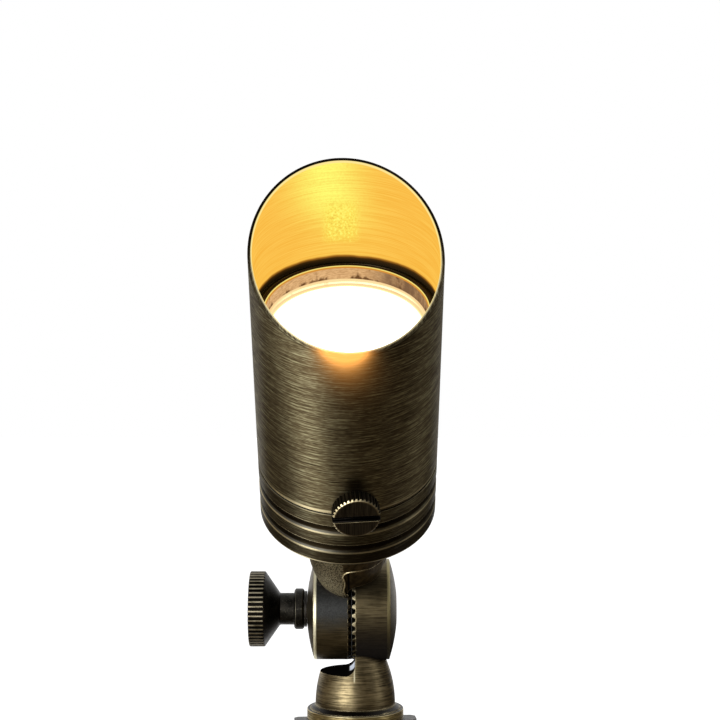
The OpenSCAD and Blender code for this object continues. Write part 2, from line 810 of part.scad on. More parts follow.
module shroud() {
    low = seam_h + seam_gap;
    color("#7d6c49") on_head() rotate([0, 0, shroud_turn]) difference() {
        translate([0, 0, low]) cylinder(r = shroud_r, h = shroud_back + 1 - seam_gap);
        translate([0, 0, low - 1]) cylinder(r = shroud_bore_r, h = far);
        translate([0, 0, seam_h + shroud_mid]) rotate([shroud_slope, 0, 0])
            translate([-far/2, -far/2, 0]) cube([far, far, far]);
        translate([0, 0, seam_h + screw_h]) rotate([90, 0, 0]) cylinder(r = screw_bore_r, h = far);
    }
}

module screw_pad() {
    color("white") on_screw() translate([0, 0, pad_r0]) cylinder(d = screw_d, h = pad_l);
}

module shroud_screw() {
    head_r = screw_head_d/2;
    color("#8d7c50") on_screw() difference() {
        union() {
            translate([0, 0, screw_tip_r]) cylinder(d = screw_d, h = screw_back_r - screw_tip_r + 1);
            translate([0, 0, screw_back_r])
                knurled(head_r, screw_head_t, screw_ridges, screw_ridge_depth, 2*edge);
        }
        translate([-far/2, -screw_slot_w/2, screw_back_r + screw_head_t - screw_slot_depth])
            cube([far, screw_slot_w, far]);
    }
}

ground_stake();
stake_bushing();
lead_grommet();
swivel_stem();
stem_ring();
stem_washer();
stem_nipple();
knuckle_seal();
knob_washer();
knuckle_knob();
knuckle_bolt();
swivel_neck();
neck_seal();
neck_nut();
lamp_housing();
housing_seals();
socket_bracket();
bracket_screws();
lamp_socket();
socket_contacts();
socket_leads();
lamp_base();
lamp_pins();
lamp_reflector();
led_board();
lamp_face();
lamp_collar();
lens_gasket();
lens();
lens_ring();
shroud();
screw_pad();
shroud_screw();
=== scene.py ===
import json
import math
import bpy
import bmesh
import numpy as np
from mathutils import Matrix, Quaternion, Vector


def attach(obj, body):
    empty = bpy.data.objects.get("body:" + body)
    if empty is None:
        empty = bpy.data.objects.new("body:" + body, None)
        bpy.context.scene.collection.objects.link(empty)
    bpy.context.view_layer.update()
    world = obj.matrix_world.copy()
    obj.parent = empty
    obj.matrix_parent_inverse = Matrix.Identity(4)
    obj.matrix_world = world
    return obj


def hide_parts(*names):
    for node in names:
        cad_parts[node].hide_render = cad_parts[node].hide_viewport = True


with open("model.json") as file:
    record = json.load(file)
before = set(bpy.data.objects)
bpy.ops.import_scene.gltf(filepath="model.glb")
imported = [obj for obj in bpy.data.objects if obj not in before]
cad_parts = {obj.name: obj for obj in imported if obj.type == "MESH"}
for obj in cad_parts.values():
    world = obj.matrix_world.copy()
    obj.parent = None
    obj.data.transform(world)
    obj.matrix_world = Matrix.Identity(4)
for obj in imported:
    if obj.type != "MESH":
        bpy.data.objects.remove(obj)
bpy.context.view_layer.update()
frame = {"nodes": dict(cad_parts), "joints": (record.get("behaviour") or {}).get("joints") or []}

mm = 0.001
joints = {joint["name"]: joint for joint in frame["joints"]}


def axesFrom(origin, up, side):
    # A place: an origin in metres and three axes, the columns of a matrix. z runs along up, x is side made square
    # to it, and y completes them.
    z = np.array(up, float) / np.linalg.norm(up)
    x = np.array(side, float) - z * np.dot(side, z)
    x = x / np.linalg.norm(x)
    return np.array(origin, float), np.column_stack([x, np.cross(z, x), z])


pivot = np.array(joints["head_tilt"]["pos_m"])
headPlace = axesFrom(joints["shroud_turn"]["pos_m"], joints["shroud_turn"]["axis"], (1, 0, 0))
headUp = headPlace[1][:, 2]
screwOut = np.array(joints["screw_turn"]["axis"])
screwPoint = np.array(joints["screw_turn"]["pos_m"])
shroudPlace = axesFrom(headPlace[0], headUp, np.cross(-screwOut, headUp))
screwPlace = axesFrom(screwPoint - screwOut * np.dot(screwPoint - headPlace[0], screwOut), screwOut, headUp)
knobPlace = axesFrom(pivot, (-1, 0, 0), (0, 0, 1))
knucklePlace = axesFrom(pivot, (0, 0, 1), (1, 0, 0))
stemPlace = axesFrom((0, 0, 0), (0, 0, 1), (1, 0, 0))


def softened(points, radius, steps=4, closed=True, longest=1.6):
    # Rounds each corner of a profile with a short quadratic curve (1-t)^2 A + 2t(1-t) P + t^2 C, where A and C
    # lie on the sides that meet at the corner P. Straight runs then get a point at least every longest mm.
    # Returns radius, height and wear, which is 1 on an outer edge and -1 in an inner one.
    p = np.asarray(points, float)
    toBefore = np.roll(p, 1, 0) - p
    toAfter = np.roll(p, -1, 0) - p
    before = np.linalg.norm(toBefore, axis=1)[:, None] + 1e-12
    after = np.linalg.norm(toAfter, axis=1)[:, None] + 1e-12
    asked = np.broadcast_to(np.asarray(radius, float), len(p))[:, None]
    reach = np.minimum(asked, 0.45 * np.minimum(before, after))     # two corners never meet
    if not closed:
        reach[[0, -1]] = 0
    a = p + toBefore / before * reach
    c = p + toAfter / after * reach
    t = np.linspace(0, 1, steps + 1)[None, :, None]
    curve = (1 - t)**2 * a[:, None] + 2 * t * (1 - t) * p[:, None] + t**2 * c[:, None]
    bend = -(toBefore[:, 0] * toAfter[:, 1] - toBefore[:, 1] * toAfter[:, 0]) / (before * after)[:, 0]
    wear = np.repeat(np.clip(bend * 1.5, -1, 1)[:, None], steps + 1, 1) * (4 * t * (1 - t))[:, :, 0]**0.5
    line = np.column_stack([curve.reshape(-1, 2), wear.reshape(-1)])
    if not closed:
        line = line[steps:len(line) - steps]
        line[[0, -1], 2] = 0
    loop = np.vstack([line, line[:1]]) if closed else line
    along = np.concatenate([[0], np.cumsum(np.hypot(*np.diff(loop[:, :2], axis=0).T))])
    keep = np.concatenate([[True], np.diff(along) > 1e-6])
    loop, along = loop[keep], along[keep]
    want = np.union1d(along, np.linspace(0, along[-1], int(along[-1] / longest) + 2))
    want = want[np.concatenate([[True], np.diff(want) > 0.004])]
    fine = np.column_stack([np.interp(want, along, loop[:, k]) for k in range(3)])
    return fine[:-1] if closed and np.allclose(fine[0, :2], fine[-1, :2], atol=0.01) else fine


def gridFaces(rows, columns, wrapRows, wrapColumns):
    # Quads between the neighbours of a grid of vertices, counted row by row
    i = np.arange(rows if wrapRows else rows - 1)[:, None]
    j = np.arange(columns if wrapColumns else columns - 1)[None, :]
    i2 = (i + 1) % rows
    j2 = (j + 1) % columns
    return np.stack([i * columns + j, i * columns + j2, i2 * columns + j2, i2 * columns + j], -1).reshape(-1, 4)


def carried(points, place):
    # Local points in mm to the frame's metres
    return place[0] + (points * mm) @ place[1].T


def meshOf(name, verts, faces, wear=None, uv=None):
    # A mesh from arrays: corners at the poles are joined, faces turned outwards, shading smooth
    mesh = bpy.data.meshes.new(name)
    mesh.from_pydata(verts, [], faces)
    if wear is not None:
        worn = mesh.attributes.new("wear", "FLOAT", "POINT")
        worn.data.foreach_set("value", np.ascontiguousarray(wear, dtype=np.float32))
    if uv is not None:
        layer = mesh.uv_layers.new(name="round")
        loops = np.zeros(len(mesh.loops), dtype=np.int32)
        mesh.loops.foreach_get("vertex_index", loops)
        flat = uv[loops]
        u = flat[:, 0].reshape(-1, len(faces[0]))
        turn = uv[:, 0].max()
        across = (u.max(1) - u.min(1)) > 0.5 * (turn - uv[:, 0].min())      # faces over the seam of the turn
        u[across] = np.where(u[across] < turn / 2, u[across] + turn, u[across])
        flat[:, 0] = u.reshape(-1)
        layer.data.foreach_set("uv", flat.reshape(-1).astype(np.float32))
    work = bmesh.new()
    work.from_mesh(mesh)
    bmesh.ops.remove_doubles(work, verts=work.verts, dist=2e-7)
    bmesh.ops.dissolve_degenerate(work, edges=work.edges, dist=1e-7)
    bmesh.ops.recalc_face_normals(work, faces=work.faces)
    work.to_mesh(mesh)
    work.free()
    mesh.shade_smooth()
    return mesh


def placed(name, data):
    thing = bpy.data.objects.new(name, data)
    bpy.context.scene.collection.objects.link(thing)
    return thing


def piece(name, mesh, body, material, slotName, *nodes):
    # A shown piece on a body, standing for CAD nodes
    thing = placed(name, mesh)
    mesh.materials.clear()
    mesh.materials.append(material)
    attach(thing, body)
    if nodes:
        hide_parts(*nodes)
    print("%s: %d faces" % (name, len(mesh.polygons)))
    return thing


halfRidge = [0.1, 0.19, 0.215, 0.24, 0.265, 0.285, 0.33, 0.42]     # where points stand across a knurl's ridge


def turned(name, profile, place, steps=192, closed=True, heightOf=None, knurl=None):
    # A surface of revolution: (r cos a, r sin a, z) of a profile r, z carried round by the angle a.
    # heightOf(r, z, a) may change the height with the angle. A knurl is (ridges, depth, low, high, inner): between
    # the heights and outside the inner radius, r loses the depth between its ridges and wear follows their edges.
    a = np.linspace(0, 2 * math.pi, steps, endpoint=False)
    if knurl:
        share = np.array([-s for s in halfRidge[::-1]] + [0] + halfRidge + [0.5])
        a = ((np.arange(knurl[0])[:, None] + share[None, :]) * 2 * math.pi / knurl[0]).reshape(-1)
        steps = len(a)
    a = a[:, None]
    r = profile[None, :, 0] + 0 * a
    z = profile[None, :, 1] + 0 * a
    wear = profile[None, :, 2] + 0 * a
    widest = profile[:, 0].max()
    if knurl:
        ridges, depth, low, high, inner = knurl
        turn = a * ridges / (2 * math.pi)
        off = np.abs(turn - np.round(turn))
        rise = np.clip((0.275 - off) / 0.075, 0, 1)
        rise = rise * rise * (3 - 2 * rise)
        inside = (z > low - 1e-6) & (z < high + 1e-6) & (r > inner)
        r = np.where(inside, np.minimum(r, widest - depth + rise * depth), r)
        wear = np.where(inside, np.clip(wear, 0, 1) * rise + (rise - 0.5) * 1.6, wear)
    if heightOf:
        z = heightOf(r, z, a)
    local = np.stack([r * np.cos(a), r * np.sin(a), z], -1).reshape(-1, 3)
    along = np.concatenate([[0], np.cumsum(np.hypot(*np.diff(profile[:, :2], axis=0).T))])
    uv = np.stack([a * widest + 0 * r, along[None, :] + 0 * a], -1).reshape(-1, 2) * mm
    faces = gridFaces(steps, len(profile), True, closed)
    return meshOf(name, carried(local, place), faces.tolist(), wear.reshape(-1), uv)


def cutBy(thing, cutter):
    # Takes the cutter's space out of a piece and keeps the result as its mesh
    helper = placed("cutter", cutter)
    cut = thing.modifiers.new("cut", "BOOLEAN")
    cut.operation = "DIFFERENCE"
    cut.solver = "EXACT"
    cut.object = helper
    shaped = bpy.data.meshes.new_from_object(thing.evaluated_get(bpy.context.evaluated_depsgraph_get()))
    thing.modifiers.clear()
    material = thing.data.materials[0]
    shaped.materials.clear()
    shaped.materials.append(material)
    old = thing.data
    thing.data = shaped
    bpy.data.meshes.remove(old)
    bpy.data.objects.remove(helper)


class Nodes:
    # A short way to wire the nodes of a material, or of a given world. Lengths are in mm.
    def __init__(self, name, world=None):
        self.owner = world or bpy.data.materials.new(name)
        self.owner.use_nodes = True
        self.tree = self.owner.node_tree
        self.tree.nodes.clear()
        self.output = self.add("OutputWorld" if world else "OutputMaterial")

    def add(self, kind, settings=None, **inputs):
        made = self.tree.nodes.new("ShaderNode" + kind)
        for key, value in (settings or {}).items():
            setattr(made, key, value)
        for key, value in inputs.items():
            self.plug(made, key.replace("_", " "), value)
        return made

    def plug(self, made, key, value):
        # A socket is wired, anything else is set on the node; i0, i1 and so on count the node's sockets
        socket = made.inputs[int(key[1:])] if key[:1] == "i" and key[1:].isdigit() else made.inputs[key]
        if isinstance(value, bpy.types.NodeSocket):
            self.tree.links.new(value, socket)
        elif isinstance(value, tuple) and socket.type == "RGBA":
            socket.default_value = (*value, 1)
        else:
            socket.default_value = value

    def math(self, operation, *values):
        inputs = {"i%d" % k: value for k, value in enumerate(values)}
        return self.add("Math", {"operation": operation}, **inputs).outputs[0]

    def times(self, *factors):
        # The product; here and as the factor of a mix, a row stands for a between of its values
        first, *others = [self.between(*factor) if isinstance(factor, tuple) else factor for factor in factors]
        for other in others:
            first = self.math("MULTIPLY", first, other)
        return first

    def plus(self, first, *others):
        for other in others:
            first = self.math("ADD", first, other)
        return first

    def most(self, a, b):
        return self.math("MAXIMUM", a, b)

    def scaled(self, value, factor, start):
        # value * factor + start
        return self.math("MULTIPLY_ADD", value, factor, start)

    def without(self, mask):
        return self.math("SUBTRACT", 1, mask)

    def between(self, value, low, high, outLow=0, outHigh=1):
        # Smooth step: outLow at low, outHigh at high, which may be the smaller one
        inputs = dict(Value=value, From_Min=low, From_Max=high, To_Min=outLow, To_Max=outHigh)
        return self.add("MapRange", {"interpolation_type": "SMOOTHSTEP"}, **inputs).outputs["Result"]

    def stripe(self, value, centre, half, core):
        # 1 within core of the centre, 0 beyond half
        return self.between(self.math("ABSOLUTE", self.math("SUBTRACT", value, centre)), half, core)

    def bell(self, value):
        # exp(-value^2)
        return self.math("POWER", 2.718, self.times(value, value, -1))

    def mix(self, factor, a, b):
        return self.add("Mix", {"data_type": "RGBA"}, i0=self.times(factor), i6=a, i7=b).outputs[2]

    def ramp(self, value, stops):
        made = self.add("ValToRGB", Fac=value)
        elements = made.color_ramp.elements
        while len(elements) < len(stops):
            elements.new(0.5)
        for element, (place, colour) in zip(elements, stops):
            element.position = place
            element.color = (*colour, 1)
        return made.outputs["Color"]

    def vectors(self, operation, a, b):
        return self.add("VectorMath", {"operation": operation}, i0=a, i1=b).outputs

    def noise(self, where, scale, detail=2, roughness=0.5):
        vector = self.add("CombineXYZ", **dict(zip("XYZ", where))).outputs[0]
        return self.add("TexNoise", Vector=vector, Scale=scale, Detail=detail, Roughness=roughness).outputs[0]

    def marks(self, where, sizes, scale=1, detail=2, roughness=0.5):
        # Noise stretched to a size along each axis
        shrunk = [self.math("DIVIDE", value, size) for value, size in zip(where, sizes)]
        return self.noise(shrunk, scale, detail, roughness)

    def varied(self, pattern, a, b):
        # From a to b as a noise rises through its middle; for colours or numbers
        if isinstance(a, tuple):
            return self.mix(self.between(pattern, 0.3, 0.7), a, b)
        return self.between(pattern, 0.3, 0.7, a, b)

    def local(self, place):
        # Object coordinates about a place's origin, along its axes
        coordinates = self.add("TexCoord").outputs["Object"]
        away = self.vectors("SUBTRACT", coordinates, tuple(place[0]))[0]
        return [self.vectors("DOT_PRODUCT", away, tuple(axis / mm))["Value"] for axis in place[1].T]

    def length(self, x, y):
        return self.math("SQRT", self.plus(self.times(x, x), self.times(y, y)))

    def wear(self):
        return self.add("Attribute", {"attribute_name": "wear"}).outputs["Fac"]

    def bump(self, height, strength, depth, **normal):
        return self.add("Bump", Height=height, Strength=strength, Distance=depth * mm, **normal).outputs[0]

    def shader(self, colour, roughness, **others):
        return self.add("BsdfPrincipled", Base_Color=colour, Roughness=roughness, **others)

    def blend(self, factor, a, b):
        return self.add("MixShader", i0=factor, i1=a.outputs[0], i2=b.outputs[0])

    def finish(self, shader):
        self.tree.links.new(shader.outputs[0], self.output.inputs["Surface"])
        return self.owner


agedBrass = {
    "dark": (0.022, 0.014, 0.006),  # patina left in the brush marks
    "middle": (0.098, 0.076, 0.04),
    "light": (0.29, 0.266, 0.155),  # brass bared by the brush
    "edge": (0.72, 0.62, 0.38),     # brass on worn edges
    "lineWidth": 0.38,              # mm from one brush mark to the next
    "lineLength": 10,
    "roughness": 0.5,
    "anisotropy": 0.85,
}


def brushed(n, look, place, brightness=1, wornBy=1, darkBy=0, paleBy=0, paleColour=None):
    # Brush marks run round the place's z axis, and patina fades in soft patches. The marks' noise is stretched
    # along the marks by taking x and y in long units and the way up the surface, z + r, in short ones.
    x, y, z = n.local(place)
    where = (x, y, n.plus(z, n.length(x, y)))
    width, length = look["lineWidth"], look["lineLength"]
    fine = n.marks(where, (length, length, width), detail=1)
    short = n.marks(where, (length, length, width * 4), scale=4.6, detail=1)
    wide = n.marks(where, (length, length, width * 2), scale=0.8)
    patches = n.noise((x, y, z), 0.07)
    blend = n.plus(n.times(fine, 0.62), n.times(short, 0.36), n.times(patches, 0.02))
    tones = [tuple(brightness * c for c in look[tone]) for tone in ("dark", "middle", "light")]
    darkTone = tuple(0.35 * c for c in look["dark"])
    wear = n.wear()
    worn = n.times((wear, 0.1, 0.75), (wide, 0.25, 0.5, 0.55, 1), wornBy)
    colour = n.ramp(blend, list(zip((0.29, 0.5, 0.71), tones)))
    # Inner corners are darkened as painted shade. The next two masks darken and lighten where a caller asks; each
    # caller says where that is painted light.
    colour = n.mix((wear, -0.1, -0.8), colour, darkTone)
    colour = n.mix(darkBy, colour, darkTone)
    colour = n.mix(paleBy, colour, paleColour or look["edge"])
    colour = n.mix(worn, colour, look["edge"])
    rough = n.varied(fine, look["roughness"] + 0.05, look["roughness"] - 0.05)
    tangent = n.add("Tangent", {"direction_type": "UV_MAP", "uv_map": "round"}).outputs[0]
    shader = n.shader(colour, rough, Metallic=1, Anisotropic=look["anisotropy"], Tangent=tangent,
        Normal=n.bump(n.plus(fine, short), 0.25, 0.04))
    shader.inputs["Anisotropic Rotation"].default_value = 0.25      # the shine runs across the marks
    return shader


def edges(n, size, reach):
    # For a node without a wear attribute: worn is 1 along its outer edges, and the second result, from ambient
    # occlusion, is 1 in its inner corners, where it sets painted shade. The size of the edges is in metres.
    rounded = n.add("Bevel", {"samples": 6}, Radius=size)
    facing = n.vectors("DOT_PRODUCT", rounded.outputs[0], n.add("NewGeometry").outputs["Normal"])["Value"]
    space = n.add("AmbientOcclusion", {"samples": 6, "only_local": True}, Distance=reach * mm).outputs["AO"]
    worn = n.times((facing, 0.985, 0.86), (space, 0.7, 0.95))
    return worn, n.between(space, 0.88, 0.42), rounded.outputs[0]


def plain(name, colour, roughness, metallic=0, scale=0.9, glow=None):
    # Moulded or machined stuff: colour varied by a soft noise, with a fine bump, and a painted glow of lamp light
    # where one is given
    n = Nodes(name)
    where = n.local(stemPlace)
    fine = n.noise(where, scale)
    shade = n.varied(n.noise(where, scale * 0.1, 3), tuple(c * 0.88 for c in colour),
        tuple(min(1, c * 1.12) for c in colour))
    shader = n.shader(shade, n.varied(fine, roughness - 0.05, roughness + 0.05), Metallic=metallic,
        Normal=n.bump(fine, 0.4, 0.03))
    if glow:
        n.plug(shader, "Emission Color", glow)
        n.plug(shader, "Emission Strength", 1)
    return n.finish(shader)


shroud = {
    "outer": 31.75, "wall": 1.4, "low": 75.35, "front": 140.5, "back": 177,
    "edge": 0.22, "lowEdge": 1.3,   # rounding of the lip and height of the lower edge's chamfer
    "screwBore": 2.05, "screwHeight": 88.5,
    "litFrom": 138,     # how far up the head the lamp starts to light the inner wall
    # colours of painted lamp light: the inner wall's dim part, amber, hot reflection, rim glow and glints, and the
    # orange glow spilled over the lip
    "dim": (0.03, 0.018, 0.008), "amber": (1, 0.525, 0.066),
    "amberDark": (0.93, 0.462, 0.0495), "amberLight": (1, 0.5775, 0.0891), "hotReflection": (1, 0.98, 0.17),
    "rimGlow": (1, 0.8, 0.3),
    "sparkColours": ((1, 0.8, 0.1), (1, 0.93, 0.17), (0.88, 0.6, 0.08)),
    "spill": (1, 0.41, 0.085), "nearSpill": (1, 0.6, 0.12),
    "spillLeft": 3.3, "spillWide": 5.1,     # the spill's middle, left of the axis, and its half width at the lip
    "spillReach": 2.6, "nearReach": 0.8,    # depth under the lip at which its two parts halve
}


def mouthOf(s):
    # The slanted mouth is the plane z = middle + slope * y
    return (s["front"] + s["back"]) / 2, (s["back"] - s["front"]) / (2 * s["outer"])


def shroudMesh(s):
    # The wall's section, a tall thin loop, carried round the axis; its top follows the slanted plane of the mouth,
    # and only its middle is stretched for that
    inner = s["outer"] - s["wall"]
    tall, end = 60, 2
    section = [(inner, 0), (s["outer"] - 0.45, 0), (s["outer"], s["lowEdge"]), (s["outer"], tall), (inner, tall)]
    section = softened(section, [0.15, 0.2, 0.6, s["edge"], s["edge"]], longest=1.2)
    middle, slope = mouthOf(s)

    def heightOf(r, z, a):
        top = middle + slope * r * np.sin(a) - s["low"]
        share = np.clip((z - end) / (tall - 2 * end), 0, 1)
        return s["low"] + np.clip(z, None, end) + share * (top - 2 * end) + np.clip(z - (tall - end), 0, None)

    return turned("shroudTube", section, shroudPlace, steps=256, heightOf=heightOf)


def shroudOutside(n, s, look, place, under, lowSide):
    # Aged brass: darker on the high side of the lip, a painted shadow round the thumb screw, a pale line on
    # the lip's low side, a painted highlight along the left of the lower edge, and a painted orange glow of lamp
    # light spilled over the low side
    x, y, z = n.local(place)
    radius = n.length(x, y)
    lipWorn = n.scaled(n.between(under, 1.2, 0.8), -0.52, 0.6)
    lipDark = n.times((under, 0.9, 0.5), n.scaled(lowSide, -0.4, 1), (n.scaled(lowSide, -0.5, radius), 30.7, 30.9))
    fromScrew = n.length(n.math("DIVIDE", x, 5.2), n.math("DIVIDE", n.plus(z, -s["screwHeight"]), 6.2))
    # painted shadow round the thumb screw
    screwShadow = n.times((fromScrew, 1, 0.2, 0, 0.85), (y, -20, -26))
    lipPale = n.times((under, 0.4, 0.1), lowSide, 0.9, (radius, 31, 30.8))
    # painted highlight along the left of the lower edge
    hemHighlight = n.times((z, s["low"] + 1.7, s["low"] + 1.2), (x, 4, -16, 0, 0.85), (y, -10, -20))
    outside = brushed(n, look, place, wornBy=lipWorn, darkBy=n.most(lipDark, screwShadow),
        paleBy=n.most(lipPale, hemHighlight))
    aside = n.math("DIVIDE", n.plus(x, s["spillLeft"]), n.scaled(under, 0.35, s["spillWide"]))
    near, far = (n.math("POWER", 2, n.math("DIVIDE", under, -reach)) for reach in (s["nearReach"], s["spillReach"]))
    # painted orange glow of lamp light spilled over the lip
    spill = n.times(n.scaled(near, 6, n.times(far, 1.9)), n.bell(aside), (y, -18, -26))
    n.plug(outside, "Emission Color", n.mix((spill, 0.8, 2.5), s["spill"], s["nearSpill"]))
    n.plug(outside, "Emission Strength", n.math("MINIMUM", spill, 1))
    return outside


def shroudWall(n, s, place, under):
    # The inner wall is painted lamp light: painted shade up to where the lamp would light it and a painted amber
    # glow from there, with turning marks, a painted hot reflection streak up its back and a spot of painted glints in
    # it
    where = x, y, z = n.local(place)
    atBack = n.between(y, 0, 20)
    streaks = n.marks(where, (20, 20, 0.32), detail=3, roughness=0.6)
    glintNoise = n.noise(where, 1.5)
    aside = n.math("DIVIDE", n.plus(x, n.between(z, 148, 170, -0.5, 4.2)), 11)
    hotReflection = n.times(n.bell(aside), atBack, (z, 144, 166, 0.12, 1),
        (n.scaled(glintNoise, 0.5, streaks), 0.45, 0.95, 0.55, 1.1))
    glintSpot = n.times(n.stripe(x, 0.5, 7.5, 3), (z, 144, 149), (z, 164, 156), atBack)
    amber = n.mix(hotReflection, n.varied(streaks, s["amberDark"], s["amberLight"]), s["hotReflection"])
    specks = (0.6, n.between(glintNoise, 0.5, 0.66), n.between(glintNoise, 0.46, 0.34))
    for glintLevel, colour in zip(specks, s["sparkColours"]):
        amber = n.mix(n.times(glintSpot, glintLevel), amber, colour)
    amber = n.mix((under, 0.6, 0.2), amber, s["rimGlow"])
    lit = n.between(n.plus(z, n.noise(where, 0.12)), s["litFrom"] + 0.4, s["litFrom"] + 3.6)
    rising = n.ramp(lit, [(0, (0.01, 0.0065, 0.002)), (0.4, (0.06, 0.024, 0.003)), (0.75, (0.45, 0.18, 0.018)),
        (1, s["amber"])])
    glow = n.add("Emission", Color=n.mix((lit, 0.75, 1), rising, amber))
    return n.blend(n.scaled(lit, 0.5, 0.5), n.add("BsdfDiffuse", Color=s["dim"]), glow)


def shroudMaterial(s, look, place):
    n = Nodes("agedBrassShroud")
    x, y, z = n.local(place)
    middle, slope = mouthOf(s)
    under = n.math("SUBTRACT", n.scaled(y, slope, middle), z)       # depth below the mouth
    lowSide = n.between(y, 6, -10)
    innerLip = n.times((under, 0.4, 0.1), n.without(lowSide))
    inside = n.between(n.scaled(innerLip, -0.2, n.length(x, y)), 30.6, 30.5)
    outside = shroudOutside(n, s, look, place, under, lowSide)
    return n.finish(n.blend(inside, outside, shroudWall(n, s, place, under)))


shroudTube = piece("shroudTube", shroudMesh(shroud), "shroud_tube", shroudMaterial(shroud, agedBrass, shroudPlace),
    "shroud_bronze", "shroud")
bore = softened([(0, 25), (shroud["screwBore"], 25), (shroud["screwBore"], 40), (0, 40)], 0, closed=False)
cutBy(shroudTube, turned("bore", bore, screwPlace, steps=32, closed=False))


housing = {
    "outer": 31.75, "low": 51.4, "floor": 57.4, "chamferHeight": 1.7, "chamferIn": 1.5,
    "seam": 75,             # the shroud's lower edge rests here
    "grooves": (5, 13.4),   # depth of each groove's upper edge under the seam
    "grooveWidth": 2.75, "grooveDepth": 0.9, "grooveFlank": 0.4, "lowFlank": (1, -0.9),
    "spigot": 30.25, "rim": 137.7, "bore": 27.2, "seat": 129.7, "seatRadius": 28.9, "stud": 10,
    # grey of the painted sheen on the grooves' lower flanks
    "flankSheenColour": (0.125, 0.119, 0.1),
    "screwGroove": (76.8, 81.6, 29.25),
    "sealGrooves": ((86.1, 87.9, 28.5), (122.8, 124.6, 28.5)),
}


def housingMaterial(h, look, place):
    # Aged brass with painted shade, black in the grooves and darker lower down and to the right, a painted grey sheen
    # on the grooves' lower flanks that is brighter to the left, and worn seam edges made brighter to the left as a
    # painted highlight
    n = Nodes("agedBrassHousing")
    x, y, z = n.local(place)
    depth = n.math("SUBTRACT", h["outer"], n.length(x, y))
    chamferTop = h["low"] + h["chamferHeight"]
    above = n.between(z, chamferTop + 0.4, chamferTop + 0.9)
    sunk = n.times((depth, 0.28, 0.58), above)
    flank = n.times((depth, 0.04, 0.2), above)
    sheen = n.times(flank, (x, 6, -18, 0.15, 1), n.without(sunk))
    shaded = n.times((z, 67.5, 56, 0, 0.78), (x, -18, -6, 0.45, 1))
    # worn seam edge, made brighter to the left as a painted highlight
    worn = n.times((z, h["seam"] - 1, h["seam"] - 0.3, 0.9, 0.2), (x, -17, -6, 1, 0.45))
    return n.finish(brushed(n, look, place, brightness=0.62, wornBy=worn, darkBy=n.most(n.times(sunk, 0.93), shaded),
        paleBy=sheen, paleColour=h["flankSheenColour"]))


def housingProfile(h):
    line = [(h["stud"], h["low"]), (h["outer"] - h["chamferIn"], h["low"]), (h["outer"], h["low"] + h["chamferHeight"])]
    rounding = [0.1, 0.5, 0.45]
    deep = h["outer"] - h["grooveDepth"]
    for top in sorted(h["grooves"], reverse=True):
        high = h["seam"] - top
        foot = high - h["grooveWidth"]
        line += [(h["outer"], foot + h["lowFlank"][1]), (deep, foot + h["lowFlank"][0]),
            (deep, high - h["grooveFlank"]), (h["outer"], high)]
        rounding += [0.5, 0.4, 0.3, 0.28]
    line += [(h["outer"], h["seam"]), (h["spigot"], h["seam"])]
    rounding += [0.25, 0.05]
    for low, high, deep in (h["screwGroove"], *h["sealGrooves"]):
        line += [(h["spigot"], low), (deep, low), (deep, high), (h["spigot"], high)]
        rounding += [0.05] * 4
    line += [(h["spigot"], h["rim"]), (h["seatRadius"], h["rim"]), (h["seatRadius"], h["seat"]),
        (h["bore"], h["seat"]), (h["bore"], h["floor"]), (h["stud"], h["floor"])]
    rounding += [0.3, 0.1, 0.05, 0.05, 0.3, 0.1]
    return softened(line, rounding, longest=1.5)


housingMesh = turned("housingBody", housingProfile(housing), headPlace, steps=256)
piece("housingBody", housingMesh, "head", housingMaterial(housing, agedBrass, headPlace), "shroud_bronze",
    "lamp_housing")


optics = {
    "ringLow": 132.7, "ringHigh": 137.7, "ringOuter": 28.9, "ringBore": 27, "ringBevel": 0.5,
    "lensRadius": 28.7, "lensThick": 2,
    "collarLow": 126.9, "collarHigh": 130.2, "collarRadius": 27.15, "lampRadius": 24.6,
    "faceRadius": 24.87, "faceLow": 128.5, "faceHigh": 130.55,
    # tan, stain, shadow and ringEdge colour the lens ring's glow, which is painted lamp light
    "tan": ((0.62, 0.34, 0.14), (0.92, 0.56, 0.26)),    # the lamp mirrored in the ring's bore
    "stain": (0.17, 0.075, 0.025), "shadow": (0.21, 0.11, 0.055),
    # dark brass of the ring's top, painted shade
    "ringShadedBrass": ((0.03, 0.019, 0.01), (0.06, 0.038, 0.02)),
    "ringEdge": ((0.72, 0.3, 0.045), (1, 0.8, 0.2)),    # the bright line at the bore's edge
    "lensRim": ((1, 0.86, 0.42), (0.95, 0.6, 0.26), (1, 0.74, 0.38)),
    "lampWhite": ((1, 0.97, 0.86), (1, 0.88, 0.55)), "lampGlow": 3,
    # peach and collarEdge colour the collar's painted glow of lamp light
    "peach": ((1, 0.55, 0.22), (0.75, 0.36, 0.16)), "collarEdge": (1, 0.9, 0.6),
    "shell": ((0.74, 0.74, 0.72), (0.84, 0.84, 0.82)), "shellGlow": (1, 0.93, 0.72),
}
o = optics


